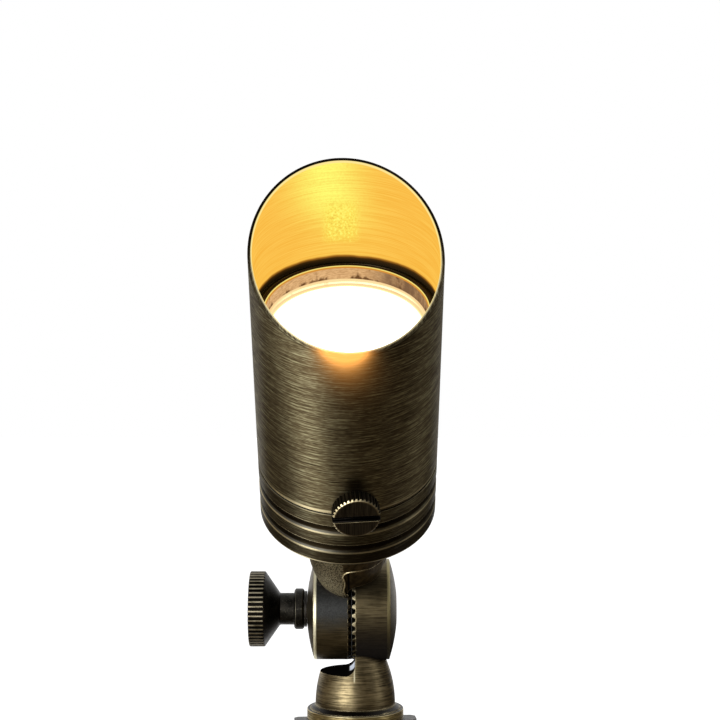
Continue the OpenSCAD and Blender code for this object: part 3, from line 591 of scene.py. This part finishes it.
def ringMaterial(o, place):
    # Turned brass darkened on top as painted shade, a painted glowing line at the bore's edge, and a stained bore that
    # glows with a painted reflection of the lamp in tan and has painted shade to the right
    n = Nodes("lensRingBrass")
    x, y, z = n.local(place)
    fromBore = n.plus(n.length(x, y), -o["ringBore"])
    stains = n.noise((x, y, n.times(z, 0.5)), 0.16, 4, 0.65)
    fine = n.noise((x, y, n.times(z, 4)), 0.6, 3, 0.6)
    bore = n.between(fromBore, 0.12, 0.04)
    low = n.between(z, o["ringLow"] + 1.8, o["ringLow"] + 0.2, 0, 0.09)
    tan = n.mix((n.plus(stains, low), 0.52, 0.64), n.varied(fine, *o["tan"]), o["stain"])
    dim = n.times((x, 4, 17), (stains, 0.36, 0.58, 0.95, 0.55))
    tan = n.mix(dim, tan, o["shadow"])
    line = n.mix((fromBore, 0.2, 0.34), *o["ringEdge"])
    edge = n.times((fromBore, 0.62, 0.54), (z, o["ringHigh"] - 0.8, o["ringHigh"] - 0.6))
    brass = n.varied(n.noise((x, y, z), 0.2), *o["ringShadedBrass"])
    metal = n.shader(brass, n.varied(stains, 0.6, 0.75), Metallic=0.9)
    glow = n.add("Emission", Color=n.mix(edge, tan, line))
    return n.finish(n.blend(n.most(n.times(bore, 0.88), n.times(edge, 0.95)), metal, glow))


def glassMaterial(o, place):
    # Clear, with a faint smear in its gloss; the rim outside the ring's bore glows with the lamp's light
    n = Nodes("clearGlass")
    x, y, z = n.local(place)
    smear = n.noise((x, y, z), 0.04, 3)
    clear = n.add("BsdfTransparent", Color=(0.985, 0.985, 0.975))
    gloss = n.add("BsdfGlossy", Color=(1, 1, 1), Roughness=n.varied(smear, 0.02, 0.06))
    front = n.without(n.add("NewGeometry").outputs["Backfacing"])       # only where light comes in
    pane = n.blend(n.times(n.add("Fresnel", IOR=1.25).outputs[0], front), clear, gloss)
    fromBore = n.plus(n.length(x, y), -o["ringBore"])
    inner, *outer = o["lensRim"]
    outer = n.mix((smear, 0.4, 0.6), *outer)
    rim = n.add("Emission", Color=n.mix((fromBore, -1.5, -0.2), inner, outer))
    return n.finish(n.blend(n.between(fromBore, -2, -0.6), pane, rim))


def lampFaceMaterial(o, place):
    # The lit front: white, yellow towards its rim
    n = Nodes("lampGlow")
    x, y, z = n.local(place)
    colour = n.mix((n.length(x, y), 22, 24.8), *o["lampWhite"])
    return n.finish(n.add("Emission", Color=colour, Strength=o["lampGlow"]))


def collarMaterial(o, place):
    # Peach with a painted glow of the lamp's light, strongest next to the lamp
    n = Nodes("lampCollarPeach")
    x, y, z = n.local(place)
    near = n.between(n.length(x, y), 26.7, 25.6)        # next to the lamp
    colour = n.mix((n.noise((x, y, z), 0.12), 0.4, 0.7, 0, 0.2), *o["peach"])
    colour = n.mix(near, colour, o["collarEdge"])
    return n.finish(n.shader(colour, 0.6, Emission_Color=colour, Emission_Strength=n.scaled(near, 1.3, 0.55)))


def lampShellMaterial(o, place):
    # The lamp's white shell, whose front edge glows
    n = Nodes("lampWhite")
    where = n.local(place)
    soft = n.noise(where, 0.09, 3)
    return n.finish(n.shader(n.varied(soft, *o["shell"]), n.varied(soft, 0.45, 0.55), Emission_Color=o["shellGlow"],
        Emission_Strength=n.between(where[2], 128, 129.5, 0, 2)))


ringLine = softened([(o["ringBore"], o["ringLow"]), (o["ringOuter"], o["ringLow"]), (o["ringOuter"], o["ringHigh"]),
    (o["ringBore"] + o["ringBevel"], o["ringHigh"]), (o["ringBore"], o["ringHigh"] - o["ringBevel"])],
    [0.05, 0.05, 0.25, 0.12, 0.12], longest=1)
piece("lensRing", turned("lensRing", ringLine, headPlace), "head", ringMaterial(o, headPlace), "ring_brass",
    "lens_ring")
collarLine = softened([(o["lampRadius"], o["collarLow"]), (o["collarRadius"], o["collarLow"]),
    (o["collarRadius"], o["collarHigh"]), (o["lampRadius"], o["collarHigh"])], 0.12, longest=1)
piece("lampCollar", turned("lampCollar", collarLine, headPlace), "head", collarMaterial(o, headPlace), "collar_peach",
    "lamp_collar")
faceLine = softened([(0, o["faceLow"]), (o["faceRadius"], o["faceLow"]), (o["faceRadius"], o["faceHigh"] - 0.5),
    (o["faceRadius"] - 1.2, o["faceHigh"]), (0, o["faceHigh"])], 0.4, closed=False, longest=2)
piece("lampFront", turned("lampFront", faceLine, headPlace, closed=False), "head", lampFaceMaterial(o, headPlace),
    "lamp_glow", "lamp_face")
lensLow = o["ringLow"] - o["lensThick"]
lensLine = softened([(0, lensLow), (o["lensRadius"], lensLow), (o["lensRadius"], o["ringLow"]), (0, o["ringLow"])],
    0.3, closed=False, longest=3)
piece("lensGlass", turned("lensGlass", lensLine, headPlace, closed=False), "head", glassMaterial(o, headPlace),
    "lens_glass", "lens")


thumbScrew = {
    "shank": 2, "tip": 30.52, "back": 32.55, "high": 38.05, "radius": 8.15, "chamfer": 0.6,
    "ridges": 36, "ridgeDepth": 0.5, "slotWide": 2.2, "slotDeep": 1.6,
    "face": ((0.018, 0.0145, 0.01), (0.05, 0.04, 0.027)), "faceRim": (0.13, 0.1, 0.055),
    "side": ((0.016, 0.013, 0.009), (0.045, 0.037, 0.025)),
    # painted shadow in the slot, and a painted highlight line under it
    "slotShadow": (0.008, 0.007, 0.006), "slotHighlight": (0.95, 0.9, 0.62),
}
t = thumbScrew


def screwMaterial(t, look, place):
    # The knurl is dark, the chamfer has a painted highlight towards the top left, and the face is brown with a lighter
    # rim. The slot's painted shadow is black and stands a little low, with a painted highlight line under it.
    n = Nodes("screwBrass")
    x, y, z = n.local(place)
    radius = n.length(x, y)
    top = n.plus(z, -t["high"])
    onFace = n.between(top, -0.4, -0.2)
    turning = n.marks((x, y, z), (8, 0.3, 8))
    face = n.mix((radius, 7, 7.5), n.varied(turning, *t["face"]), t["faceRim"])
    colour = n.mix(onFace, n.varied(turning, *t["side"]), face)
    chamfer = n.times((top, -0.67, -0.6), (radius, 7.52, 7.58))
    worn, hollow, soft = edges(n, 0.2 * mm, 1.2)
    colour = n.mix(n.times(worn, 0.5), colour, look["edge"])
    # painted highlight on the chamfer, brighter towards the top left
    rubAndSheen = n.between(n.scaled(x, 0.45, y), -1.5, 4.5, 0.08, 0.95)
    colour = n.mix(n.times(chamfer, rubAndSheen), colour, look["edge"])
    fromLine = n.plus(x, t["slotWide"] / 2 + 0.3)
    slotHighlight = n.times((fromLine, -0.16, -0.04), (fromLine, 0.12, 0.02), onFace)
    colour = n.mix(slotHighlight, colour, t["slotHighlight"])
    inSlot = n.times(n.stripe(x, -0.16, t["slotWide"] / 2 + 0.14, t["slotWide"] / 2 + 0.08), (top, 0.1, 0.05))
    colour = n.mix(inSlot, colour, t["slotShadow"])
    bump = n.bump(turning, 0.3, 0.03, Normal=soft)
    return n.finish(n.shader(colour, n.varied(turning, 0.38, 0.48), Metallic=1, Normal=bump))


def slotBox(place, width, low, high, length):
    # A box given by its eight corners, for a straight slot across a head
    x, y, z = np.meshgrid([-width / 2, width / 2], [-length, length], [low, high], indexing="ij")
    corners = np.column_stack([x.reshape(-1), y.reshape(-1), z.reshape(-1)])
    sides = [(0, 1, 3, 2), (4, 6, 7, 5), (0, 4, 5, 1), (2, 3, 7, 6), (0, 2, 6, 4), (1, 5, 7, 3)]
    return meshOf("slotBox", carried(corners, place), sides)


screwLine = softened([(0, t["tip"]), (t["shank"], t["tip"]), (t["shank"], t["back"]),
    (t["radius"] - t["chamfer"], t["back"]), (t["radius"], t["back"] + t["chamfer"]),
    (t["radius"], t["high"] - t["chamfer"]), (t["radius"] - t["chamfer"], t["high"]), (0, t["high"])],
    [0, 0.1, 0.1, 0.08, 0.08, 0.08, 0.08, 0], closed=False, longest=1)
screwKnurl = (t["ridges"], t["ridgeDepth"], t["back"], t["high"], t["shank"] + 1)
screwHead = piece("thumbScrew", turned("thumbScrew", screwLine, screwPlace, closed=False, knurl=screwKnurl),
    "thumb_screw", screwMaterial(t, agedBrass, screwPlace), "screw_bronze", "shroud_screw")
cutBy(screwHead, slotBox(screwPlace, t["slotWide"], t["high"] - t["slotDeep"], t["high"] + 2, t["radius"] + 2))


handKnob = {
    "bolt": 4, "collarLow": 18.35, "collarRadius": 7.75, "neckLow": 22.1, "neckRadius": 6.05, "coneLow": 27.6,
    "rimLow": 33.2, "rimRadius": 14.3, "end": 39.2, "boltEnd": 36.2, "ridges": 50, "ridgeDepth": 0.75, "edge": 0.6,
    "black": ((0.008, 0.0075, 0.0065), (0.026, 0.024, 0.02)), "speck": (0.075, 0.07, 0.055),
    "rubAndSheen": ((0.18, 0.155, 0.1), (0.34, 0.3, 0.21)), "groove": (0.006, 0.005, 0.004),
}
k = handKnob


def knobMaterial(k, place):
    # Blackened steel: near black and finely speckled, with a tan line rubbed along the middle of each ridge
    n = Nodes("knobBlack")
    x, y, z = n.local(place)
    speckle = n.noise((x, y, z), 2.4)
    cloud = n.noise((x, y, z), 0.26, 3)
    base = n.mix((cloud, 0.35, 0.65), *k["black"])
    base = n.mix((speckle, 0.6, 0.72), base, k["speck"])
    wear = n.wear()
    rim = n.between(z, k["rimLow"] + 0.25, k["rimLow"] + 0.45)      # the knurled part
    turn = n.times(n.math("ARCTAN2", y, x), k["ridges"] / (2 * math.pi))
    offRidge = n.between(n.math("PINGPONG", turn, 0.5), 0.17, 0.09, 0.12, 1)
    rubAndSheen = n.times((wear, 0.15, 0.75), n.scaled(rim, 0.75, 0.2), n.most(n.without(rim), offRidge))
    colour = n.mix(rubAndSheen, base, n.mix((cloud, 0.3, 0.6), *k["rubAndSheen"]))
    colour = n.mix((wear, -0.1, -0.7), colour, k["groove"])
    bump = n.bump(n.plus(speckle, cloud), 0.5, 0.05)
    return n.finish(n.shader(colour, n.varied(cloud, 0.36, 0.5), Metallic=1, Normal=bump))


knobLine = softened([(k["bolt"], k["collarLow"]), (k["collarRadius"] - k["edge"], k["collarLow"]),
    (k["collarRadius"], k["collarLow"] + k["edge"]), (k["collarRadius"], k["neckLow"] - k["edge"]),
    (k["collarRadius"] - k["edge"], k["neckLow"]), (k["neckRadius"], k["neckLow"]), (k["neckRadius"], k["coneLow"]),
    (k["rimRadius"] - 0.3, k["rimLow"]), (k["rimRadius"], k["rimLow"] + 0.3), (k["rimRadius"], k["end"] - 0.3),
    (k["rimRadius"] - 0.3, k["end"]), (0.2, k["end"]), (0.2, k["boltEnd"]), (k["bolt"], k["boltEnd"])],
    [0.1, 0.15, 0.15, 0.15, 0.15, 0.3, 0.3, 0.1, 0.12, 0.12, 0.12, 0, 0, 0.1], longest=0.9)
knobKnurl = (k["ridges"], k["ridgeDepth"], k["rimLow"] + 0.02, k["end"], k["rimRadius"] - 2)
piece("handKnob", turned("handKnob", knobLine, knobPlace, knurl=knobKnurl), "knob", knobMaterial(k, knobPlace),
    "knob_black", "knuckle_knob")


stemRing = {
    "bore": 10.4, "low": 3.5, "high": 7.4, "radius": 18.5, "seatRadius": 17.45, "seat": 5.6,
    "gold": {"dark": (0.03, 0.022, 0.01), "middle": (0.27, 0.21, 0.09), "light": (0.6, 0.48, 0.23)},
}
g = stemRing


def bandMaterial(g, look, place):
    # Golden round its side, with painted shade on top
    n = Nodes("brightBrass")
    x, y, z = n.local(place)
    radius = n.length(x, y)
    return n.finish(brushed(n, {**look, **g["gold"]}, place, wornBy=n.between(radius, 18.3, 18.46, 0, 0.8),
        darkBy=n.between(radius, 18.42, 18.26)))


ringBand = softened([(g["bore"], g["low"]), (g["radius"], g["low"]), (g["radius"], g["high"]),
    (g["seatRadius"], g["high"]), (g["seatRadius"], g["seat"]), (g["bore"], g["seat"])],
    [0.1, 0.35, 0.95, 0.2, 0.05, 0.1], longest=0.6)
piece("stemRing", turned("stemRing", ringBand, stemPlace), "stem", bandMaterial(g, agedBrass, stemPlace),
    "ring_brass", "stem_ring")


# The seal's thin fin out to the discs' rim is a dark sheet standing for the shade in the gap between the toothed discs
knuckleSeal = {"inner": 10.3, "outer": 12.1, "low": -0.4, "high": 1.4, "fin": 18.9, "finThick": 0.22}
q = knuckleSeal
fin = q["finThick"] / 2
sealLine = softened([(q["inner"], q["low"]), (q["outer"], q["low"]), (q["outer"], -fin), (q["fin"], -fin),
    (q["fin"], fin), (q["outer"], fin), (q["outer"], q["high"]), (q["inner"], q["high"])],
    [0.7, 0.3, 0.05, 0.08, 0.08, 0.05, 0.7, 0.7], longest=1)
rubber = plain("rubber", (0.02, 0.02, 0.02), 0.75)
sealMesh = turned("knuckleSeal", sealLine, axesFrom(pivot, (1, 0, 0), (0, 0, 1)), steps=128)
piece("knuckleSeal", sealMesh, "stem", rubber, "rubber_black", "knuckle_seal")


castRidge = {
    "radius": 0.3,
    "path": ((7, 33.6), (4, 33.74), (2.4, 33.8), (0.8, 33.6), (-0.4, 33.2), (-1.24, 32.5), (-1.79, 31.5),
             (-1.84, 30.5), (-1.45, 29), (-1.17, 27.5), (-1.15, 25.5), (-1.5, 23.4), (-1.55, 21.5), (-1.2, 19.6),
             (-0.85, 17)),
    "size": (0.2, 0.45, 0.85, 1.05, 1.1, 1.05, 1, 0.95, 1.1, 0.9, 1.05, 0.9, 1.1, 0.95, 0.6),
    "bell": (15.3, 36.1, 43.7),     # widest radius, its height on the head's axis, radius of the curved side
    "steps": 90, "sides": 14,
}


def unit(vectors):
    return vectors / np.linalg.norm(vectors, axis=1)[:, None]


def ridgeMesh(c, place):
    # A bead laid along a wavy line: a circle carried along a smooth curve through the path's points, whose depth is
    # put on the bell, y = -sqrt(R(z)^2 - x^2), and whose radius swells and shrinks along it
    knots = np.arange(len(c["path"]))
    fine = np.linspace(0, knots[-1], c["steps"])
    path = np.array(c["path"], float)
    x, z, size = (np.interp(fine, knots, line) for line in (path[:, 0], path[:, 1], np.array(c["size"])))
    blur = np.array([1, 2, 3, 2, 1]) / 9
    x[2:-2], z[2:-2] = np.convolve(x, blur, "valid"), np.convolve(z, blur, "valid")
    widest, height, sideRadius = c["bell"]
    bell = widest - sideRadius + np.sqrt(sideRadius**2 - np.clip(height - z, 0, None)**2)
    centre = np.column_stack([x, -np.sqrt(bell**2 - x**2), z])
    along = unit(np.gradient(centre, axis=0))
    side = unit(np.cross(along, unit(centre * [1, 1, 0])))
    out = np.cross(side, along)
    ends = np.sqrt(np.clip(np.minimum(fine, knots[-1] - fine) / 0.4, 0, 1))
    radius = (c["radius"] * size * ends)[:, None, None]
    a = np.linspace(0, 2 * math.pi, c["sides"], endpoint=False)[None, :, None]
    points = centre[:, None] + radius * (np.cos(a) * side[:, None] + np.sin(a) * out[:, None])
    wear = np.clip(np.sin(a[..., 0]) + 0.3, 0, 1) + 0 * fine[:, None]
    faces = gridFaces(c["steps"], c["sides"], False, True)
    return meshOf("castRidge", carried(points.reshape(-1, 3), place), faces.tolist(), wear.reshape(-1))


def ridgeMaterial(look):
    n = Nodes("castRidgeBrass")
    specks = n.noise(n.local(stemPlace), 2.6, 3, 0.65)
    colour = n.mix(n.times(n.wear(), (specks, 0.3, 0.6, 0.6, 1)), look["middle"], look["edge"])
    return n.finish(n.shader(colour, n.varied(specks, 0.36, 0.46), Metallic=1, Normal=n.bump(specks, 0.4, 0.08)))


piece("castRidge", ridgeMesh(castRidge, headPlace), "head", ridgeMaterial(agedBrass), "neck_bronze")


castings = {
    "rough": ((0.03, 0.024, 0.013), (0.42, 0.37, 0.24)),    # sand-cast skin on the knob's side of the neck
    "smooth": ((0.03, 0.021, 0.01), (0.09, 0.066, 0.034)),  # milled skin on its other side
    "brush": ((0.034, 0.026, 0.013), (0.15, 0.12, 0.066)), "turnedLight": (0.2625, 0.21, 0.1155),
    "grey": ((0.0315, 0.0323, 0.0319), (0.045, 0.0462, 0.0456)),
    # colours of painted shade in the hollows and of the painted shadow line by the neck's step
    "hollow": (0.01, 0.007, 0.004), "cut": (0.004, 0.003, 0.002),
    # the foot colours are a light line on the milled side and painted shadow on the cast side
    "foot": ((0.17, 0.14, 0.075), (0.008, 0.006, 0.004)),   # where the neck meets its disc, milled and cast
    # the rim colours paint a highlight line near the discs' rim, bright on the left
    "rim": ((0.86, 0.82, 0.6), (0.3, 0.26, 0.13)),          # line near the discs' outer rim, left and right
    # painted shade on the neck's teeth, a painted highlight down the stem's step, painted shade at the stem's flare
    "neckTooth": (0.02, 0.015, 0.008), "step": (0.6, 0.55, 0.38), "flare": (0.012, 0.01, 0.008),
    # a painted bluish shine in the stem's fillet, and black painted shade in its clearing cut
    "shine": (0.7, 0.78, 0.92), "patina": ((0.004, 0.0035, 0.003), (0.012, 0.01, 0.009)),
    "lineWidth": 0.32, "lineLength": 8, "turnedLength": 9, "roughness": 0.42,
    "discRadius": 19.1, "edgeRounding": 0.6, "rimRounding": 1.4, "toothEdge": 1.45,
    "rimLine": 13.8, "stepEdge": -3, "cutLine": -1.1,   # across the knuckle, from its middle
    "cutFloor": -26.2,                                  # the lowest point of the stem's clearing cut
}


def neckSkin(n, look, where, away, onDisc, patches, specks, disc):
    # Rough as cast on the knob's side, lighter lower down and to the right, milled on the other with a painted shadow
    # line by the step, painted shadow where the cast side meets the disc and a light line where the milled side does,
    # dark teeth as painted shade, a darker lower dome, and a grey patch on the disc
    x, y, z = where
    headZ = n.local(headPlace)[2]
    greyPatch = n.times((n.scaled(patches, 8, z), -5, 5), (y, 4, -4), (x, -15, -12.5))
    disc = n.mix(greyPatch, disc, n.mix((specks, 0.35, 0.65), *look["grey"]))
    dome = n.times((x, -13.8, -14.6), (z, 2, -8), 0.75)
    disc = n.mix(dome, disc, look["brush"][0])
    castSide = n.between(x, look["stepEdge"] + 0.2, look["stepEdge"] - 0.2)
    # cast skin lighter lower down and to the right
    rubAndSheen = n.times((headZ, 34, 22, 0.25, 1), (x, -15, -7, 0.4, 1))
    cast = n.mix((specks, 0.38, 0.6), look["rough"][0], n.mix(rubAndSheen, look["brush"][1], look["rough"][1]))
    milled = n.varied(n.noise(where, 0.5, 3), *look["smooth"])
    # painted shadow line by the step
    cut = n.times(n.stripe(x, look["cutLine"], 0.5, 0.25), (headZ, 32.8, 32.2), (y, 0, -2))
    body = n.mix(castSide, n.mix(cut, milled, look["cut"]), cast)
    # painted shadow where the cast side meets the disc, a light line where the milled side does
    foot = n.times(n.stripe(away, look["discRadius"] + 0.7, 0.5, 0.2), 0.85)
    body = n.mix(foot, body, n.mix(castSide, *look["foot"]))
    return dict(disc=disc, body=body, height=n.times(specks, n.scaled(castSide, 5, 0.6)),
        toothColour=look["neckTooth"], inTeeth=n.between(x, -look["toothEdge"], 0.15 - look["toothEdge"]),
        rougher=n.times(castSide, n.without(onDisc), 0.2))


def stemSkin(n, look, where, away, onDisc, patches, specks, disc):
    # Turned round the stem's own axis, darker towards its foot, with painted shade on the flare's edge. The clearing
    # cut under the neck's disc is painted black for shade, with a painted highlight line down its edge and a painted
    # bluish shine deep in its fillet; painted shade makes the disc black below, and the teeth carry a painted
    # highlight that fades downwards.
    x, y, z = where
    turning = n.marks(where, (look["turnedLength"], look["turnedLength"], look["lineWidth"]), roughness=0.6)
    streaks = n.plus(n.times(turning, 0.65), n.times(patches, 0.35))
    body = n.mix((streaks, 0.34, 0.66), look["brush"][0], look["turnedLight"])
    body = n.mix((z, -33, -37.2, 0, 0.7), body, look["smooth"][0])
    aboveFloor = n.between(z, look["cutFloor"], look["cutFloor"] + 1.4)
    # painted highlight line down the step's edge
    step = n.times(n.stripe(x, 1, 0.36, 0.14), (z, -20, -21.2), aboveFloor, (y, -8, -10), 0.75)
    body = n.mix(step, body, look["step"])
    fromStem = n.length(n.plus(x, float(pivot[0] / mm)), y)
    # painted shade on the flare's edge at the foot
    body = n.mix(n.times((fromStem, 15.3, 15.9), (z, -33.5, -35)), body, look["flare"])
    normal = n.add("SeparateXYZ", Vector=n.add("TexCoord").outputs["Normal"])
    up, sideways = normal.outputs["Z"], normal.outputs["X"]
    # the cut's floor and wall are painted black for shade
    floor = n.times((up, 0.3, 0.7), (x, 1.2, -0.6), aboveFloor)
    wall = n.times((sideways, -0.3, -0.55), (x, 1.6, 0.9), (x, -4.6, -3.6), aboveFloor, n.without(onDisc))
    # painted bluish shine deep in the fillet
    shine = n.times((x, -1.2, -0.6), (n.scaled(x, 2, y), -6.5, -3.5), (y, 8, 5), (sideways, -0.1, -0.3),
        (x, 1.2, 0.9), aboveFloor, n.without(onDisc))
    # painted shade, black on the disc below
    low = n.times((z, 8, -16.5), onDisc, (x, 1.2, 1.8), 0.92)
    # teeth: painted highlight above, painted shade below
    toothColour = n.mix((z, -4, -10), look["rough"][1], look["brush"][0])
    black = n.most(n.times(n.most(floor, wall), n.without(shine)), low)
    return dict(disc=disc, body=body, height=turning, shine=n.times(shine, 0.9), toothColour=toothColour,
        inTeeth=n.between(x, look["toothEdge"], look["toothEdge"] - 0.15), black=black)


def castBrass(name, look, skin):
    # Both castings: a toothed disc brushed along the knuckle's axis, a body with a skin of its own, painted shade in
    # the hollows, worn edges, painted light and shade on the teeth, and a painted highlight line near the disc's rim
    n = Nodes(name)
    where = x, y, z = n.local(knucklePlace)
    away = n.length(y, z)
    onDisc = n.between(away, look["discRadius"] + 0.6, look["discRadius"] + 0.1)
    fine = n.marks(where, (look["lineLength"], look["lineWidth"], look["lineWidth"]), detail=3, roughness=0.6)
    patches = n.noise(where, 0.16, 3)
    specks = n.noise(where, 2.3, 1, 0.6)
    disc = n.varied(n.plus(n.times(fine, 0.7), n.times(patches, 0.3)), *look["brush"])
    part = skin(n, look, where, away, onDisc, patches, specks, disc)
    atRim = n.times((n.math("ABSOLUTE", x), 11.2, 12.2), (away, 16, 17))
    worn, hollow, soft = edges(n, n.scaled(atRim, look["rimRounding"] * mm, look["edgeRounding"] * mm), 2.2)
    colour = n.mix(onDisc, part["body"], part["disc"])
    # painted shade in the hollows
    colour = n.mix(n.times(hollow, 0.85), colour, look["hollow"])
    colour = n.mix(n.times(worn, (specks, 0.3, 0.6, 0.6, 1)), colour, agedBrass["edge"])
    colour = n.mix(n.times(part["inTeeth"], onDisc, (away, 15, 16.5)), colour, part["toothColour"])
    if "shine" in part:
        colour = n.mix(part["shine"], colour, look["shine"])
    # painted highlight line near the disc's rim, bright on the left and dim on the right
    rimLine = n.times(n.stripe(n.math("ABSOLUTE", x), look["rimLine"], 0.7, 0.3), onDisc, (away, 16.5, 17.5))
    colour = n.mix(n.times(rimLine, 0.85), colour, n.mix((x, 0, 1), *look["rim"]))
    height = n.plus(n.times(fine, onDisc), n.times(part["height"], n.without(onDisc)))
    rough = n.varied(specks, look["roughness"] - 0.04, look["roughness"] + 0.06)
    if "rougher" in part:
        rough = n.plus(rough, part["rougher"])
    metal = n.shader(colour, rough, Metallic=1, Normal=n.bump(height, 0.45, 0.06, Normal=soft))
    if "black" not in part:
        return n.finish(metal)
    # black painted shade where the stem's skin asks for it
    patina = n.add("BsdfDiffuse", Color=n.mix(specks, *look["patina"]))
    return n.finish(n.blend(part["black"], metal, patina))


steel = plain("steel", (0.55, 0.54, 0.51), 0.3, metallic=1)
softBrass = plain("softBrass", (0.66, 0.5, 0.24), 0.3, metallic=1)
nylon = plain("nylon", (0.8, 0.79, 0.75), 0.45)
lampShell = lampShellMaterial(o, headPlace)
looks = [
    (plain("stakeGrey", (0.16, 0.155, 0.15), 0.5, scale=0.5), "ground_stake"),
    (castBrass("stemBrass", castings, stemSkin), "swivel_stem"),
    (castBrass("neckBrass", castings, neckSkin), "swivel_neck"),
    (rubber, "lead_grommet", "stem_washer", "neck_seal", "housing_seals"),
    (plain("blackSteel", (0.035, 0.033, 0.028), 0.4, metallic=0.9), "knob_washer"),
    (steel, "knuckle_bolt", "neck_nut", "socket_bracket", "bracket_screws", "lamp_pins"),
    (softBrass, "stake_bushing", "stem_nipple", "socket_contacts"),
    (nylon, "screw_pad", "lamp_socket", "socket_leads", "lamp_base"),
    (lampShell, "lamp_reflector", "led_board"),
    # the gasket's glow is painted lamp light
    (plain("paleGasket", (0.7, 0.64, 0.55), 0.6, glow=(1, 0.84, 0.5)), "lens_gasket"),
]
for material, *names in looks:
    for name in names:
        data = frame["nodes"][name].data
        data.materials.clear()
        data.materials.append(material)
print("CAD nodes dressed: %d" % sum(len(row) - 1 for row in looks))


studio = {
    "eye": (1.8, -548.7, 121.8), "lens": 70.75, "pitch": 2,     # mm, mm on a 36 mm sensor, degrees up
    "floor": -190.5, "floorSize": 30000,
    "card": (0.28, 0.22, 0.14),     # brown of the dark cards
}
camera = placed("camera", bpy.data.cameras.new("camera"))
camera.data.sensor_width = 36
camera.data.lens = studio["lens"]
camera.data.clip_start = 0.01
camera.location = [c * mm for c in studio["eye"]]
camera.rotation_euler = (math.radians(90 + studio["pitch"]), 0, 0)
bpy.context.scene.camera = camera


def seenAsBackground(n):
    # 1 for rays that show the background: straight from the camera, mirrored or through glass
    path = n.add("LightPath")
    seen = n.most(path.outputs["Is Camera Ray"], path.outputs["Is Glossy Ray"])
    return n.most(seen, path.outputs["Is Transmission Ray"])


def floorMaterial():
    n = Nodes("paleFloor")
    tone = n.mix(n.noise(n.local(stemPlace), 0.003), (0.8, 0.8, 0.8), (0.84, 0.84, 0.84))
    paint = n.add("BsdfDiffuse", Color=tone)
    glow = n.add("Emission", Color=(1, 1, 1), Strength=n.times(seenAsBackground(n), 0.85))
    return n.finish(n.add("AddShader", i0=paint.outputs[0], i1=glow.outputs[0]))


def quad(name, corner, across, up, material):
    corner, across, up = np.array(corner), np.array(across), np.array(up)
    mesh = bpy.data.meshes.new(name)
    mesh.from_pydata([corner, corner + across, corner + across + up, corner + up], [], [(0, 1, 2, 3)])
    mesh.materials.append(material)
    return placed(name, mesh)


size = studio["floorSize"] * mm
floor = quad("floor", (-size / 2, -size / 2, studio["floor"] * mm), (size, 0, 0), (0, size, 0), floorMaterial())

world = bpy.data.worlds.new("studio")
bpy.context.scene.world = world
w = Nodes("studio", world)
w.finish(w.add("Background", Color=(1, 1, 1), Strength=w.scaled(seenAsBackground(w), 0.6, 0.4)))

lights = {      # metres, degrees and watts
    "left": {"at": (-0.52, -0.87, 0.07), "size": (0.44, 0.7), "lean": -45, "power": 8.7},
    "right": {"at": (0.95, -0.25, 0.25), "size": (0.2, 0.8), "lean": 0, "power": 1},
}
lampAim = Vector((0, 0, 0.1))
for name, light in lights.items():
    lamp = bpy.data.lights.new(name, "AREA")
    lamp.shape = "RECTANGLE"
    lamp.size, lamp.size_y = light["size"]
    lamp.energy = light["power"]
    holder = placed(name, lamp)
    holder.location = light["at"]
    aim = (lampAim - Vector(light["at"])).to_track_quat("-Z", "Y")
    holder.rotation_euler = (aim @ Quaternion((0, 0, 1), math.radians(light["lean"]))).to_euler()
    holder.visible_camera = False

cards = {      # dark cards that only the metal's reflections see: corner, two edges and tone
    "floorCard": ((-0.16, -1.3, -0.186), (1.4, 0, 0), (0, 1.45, 0), 1),
    "backFloorCard": ((0.22, 0.15, -0.186), (1.1, 0, 0), (0, 1.2, 0), 1),
    "backLeftCard": ((-1.32, 0.1, -0.186), (1.1, 0, 0), (0, 1.2, 0), 1),
    "leftFloorCard": ((-1.32, -0.62, -0.186), (1.02, 0, 0), (0, 0.72, 0), 1),
    "frontCard": ((-0.3, -1.25, -0.185), (1.45, 0.45, 0), (0, 0, 1.1), 1),
    "rightCard": ((1.2, -0.8, -0.185), (-0.2, 2.3, 0), (0, 0, 0.9), 0.4),
    "leftCard": ((-1.15, -0.7, -0.186), (0.5, 1.1, 0), (0, 0, 0.9), 1),
}
for name, (corner, across, up, tone) in cards.items():
    card = quad(name, corner, across, up, plain(name, tuple(c * tone for c in studio["card"]), 0.9))
    card.visible_camera = card.visible_diffuse = card.visible_shadow = False

view = bpy.context.scene.view_settings
view.view_transform = "Standard"
print("studio ready")
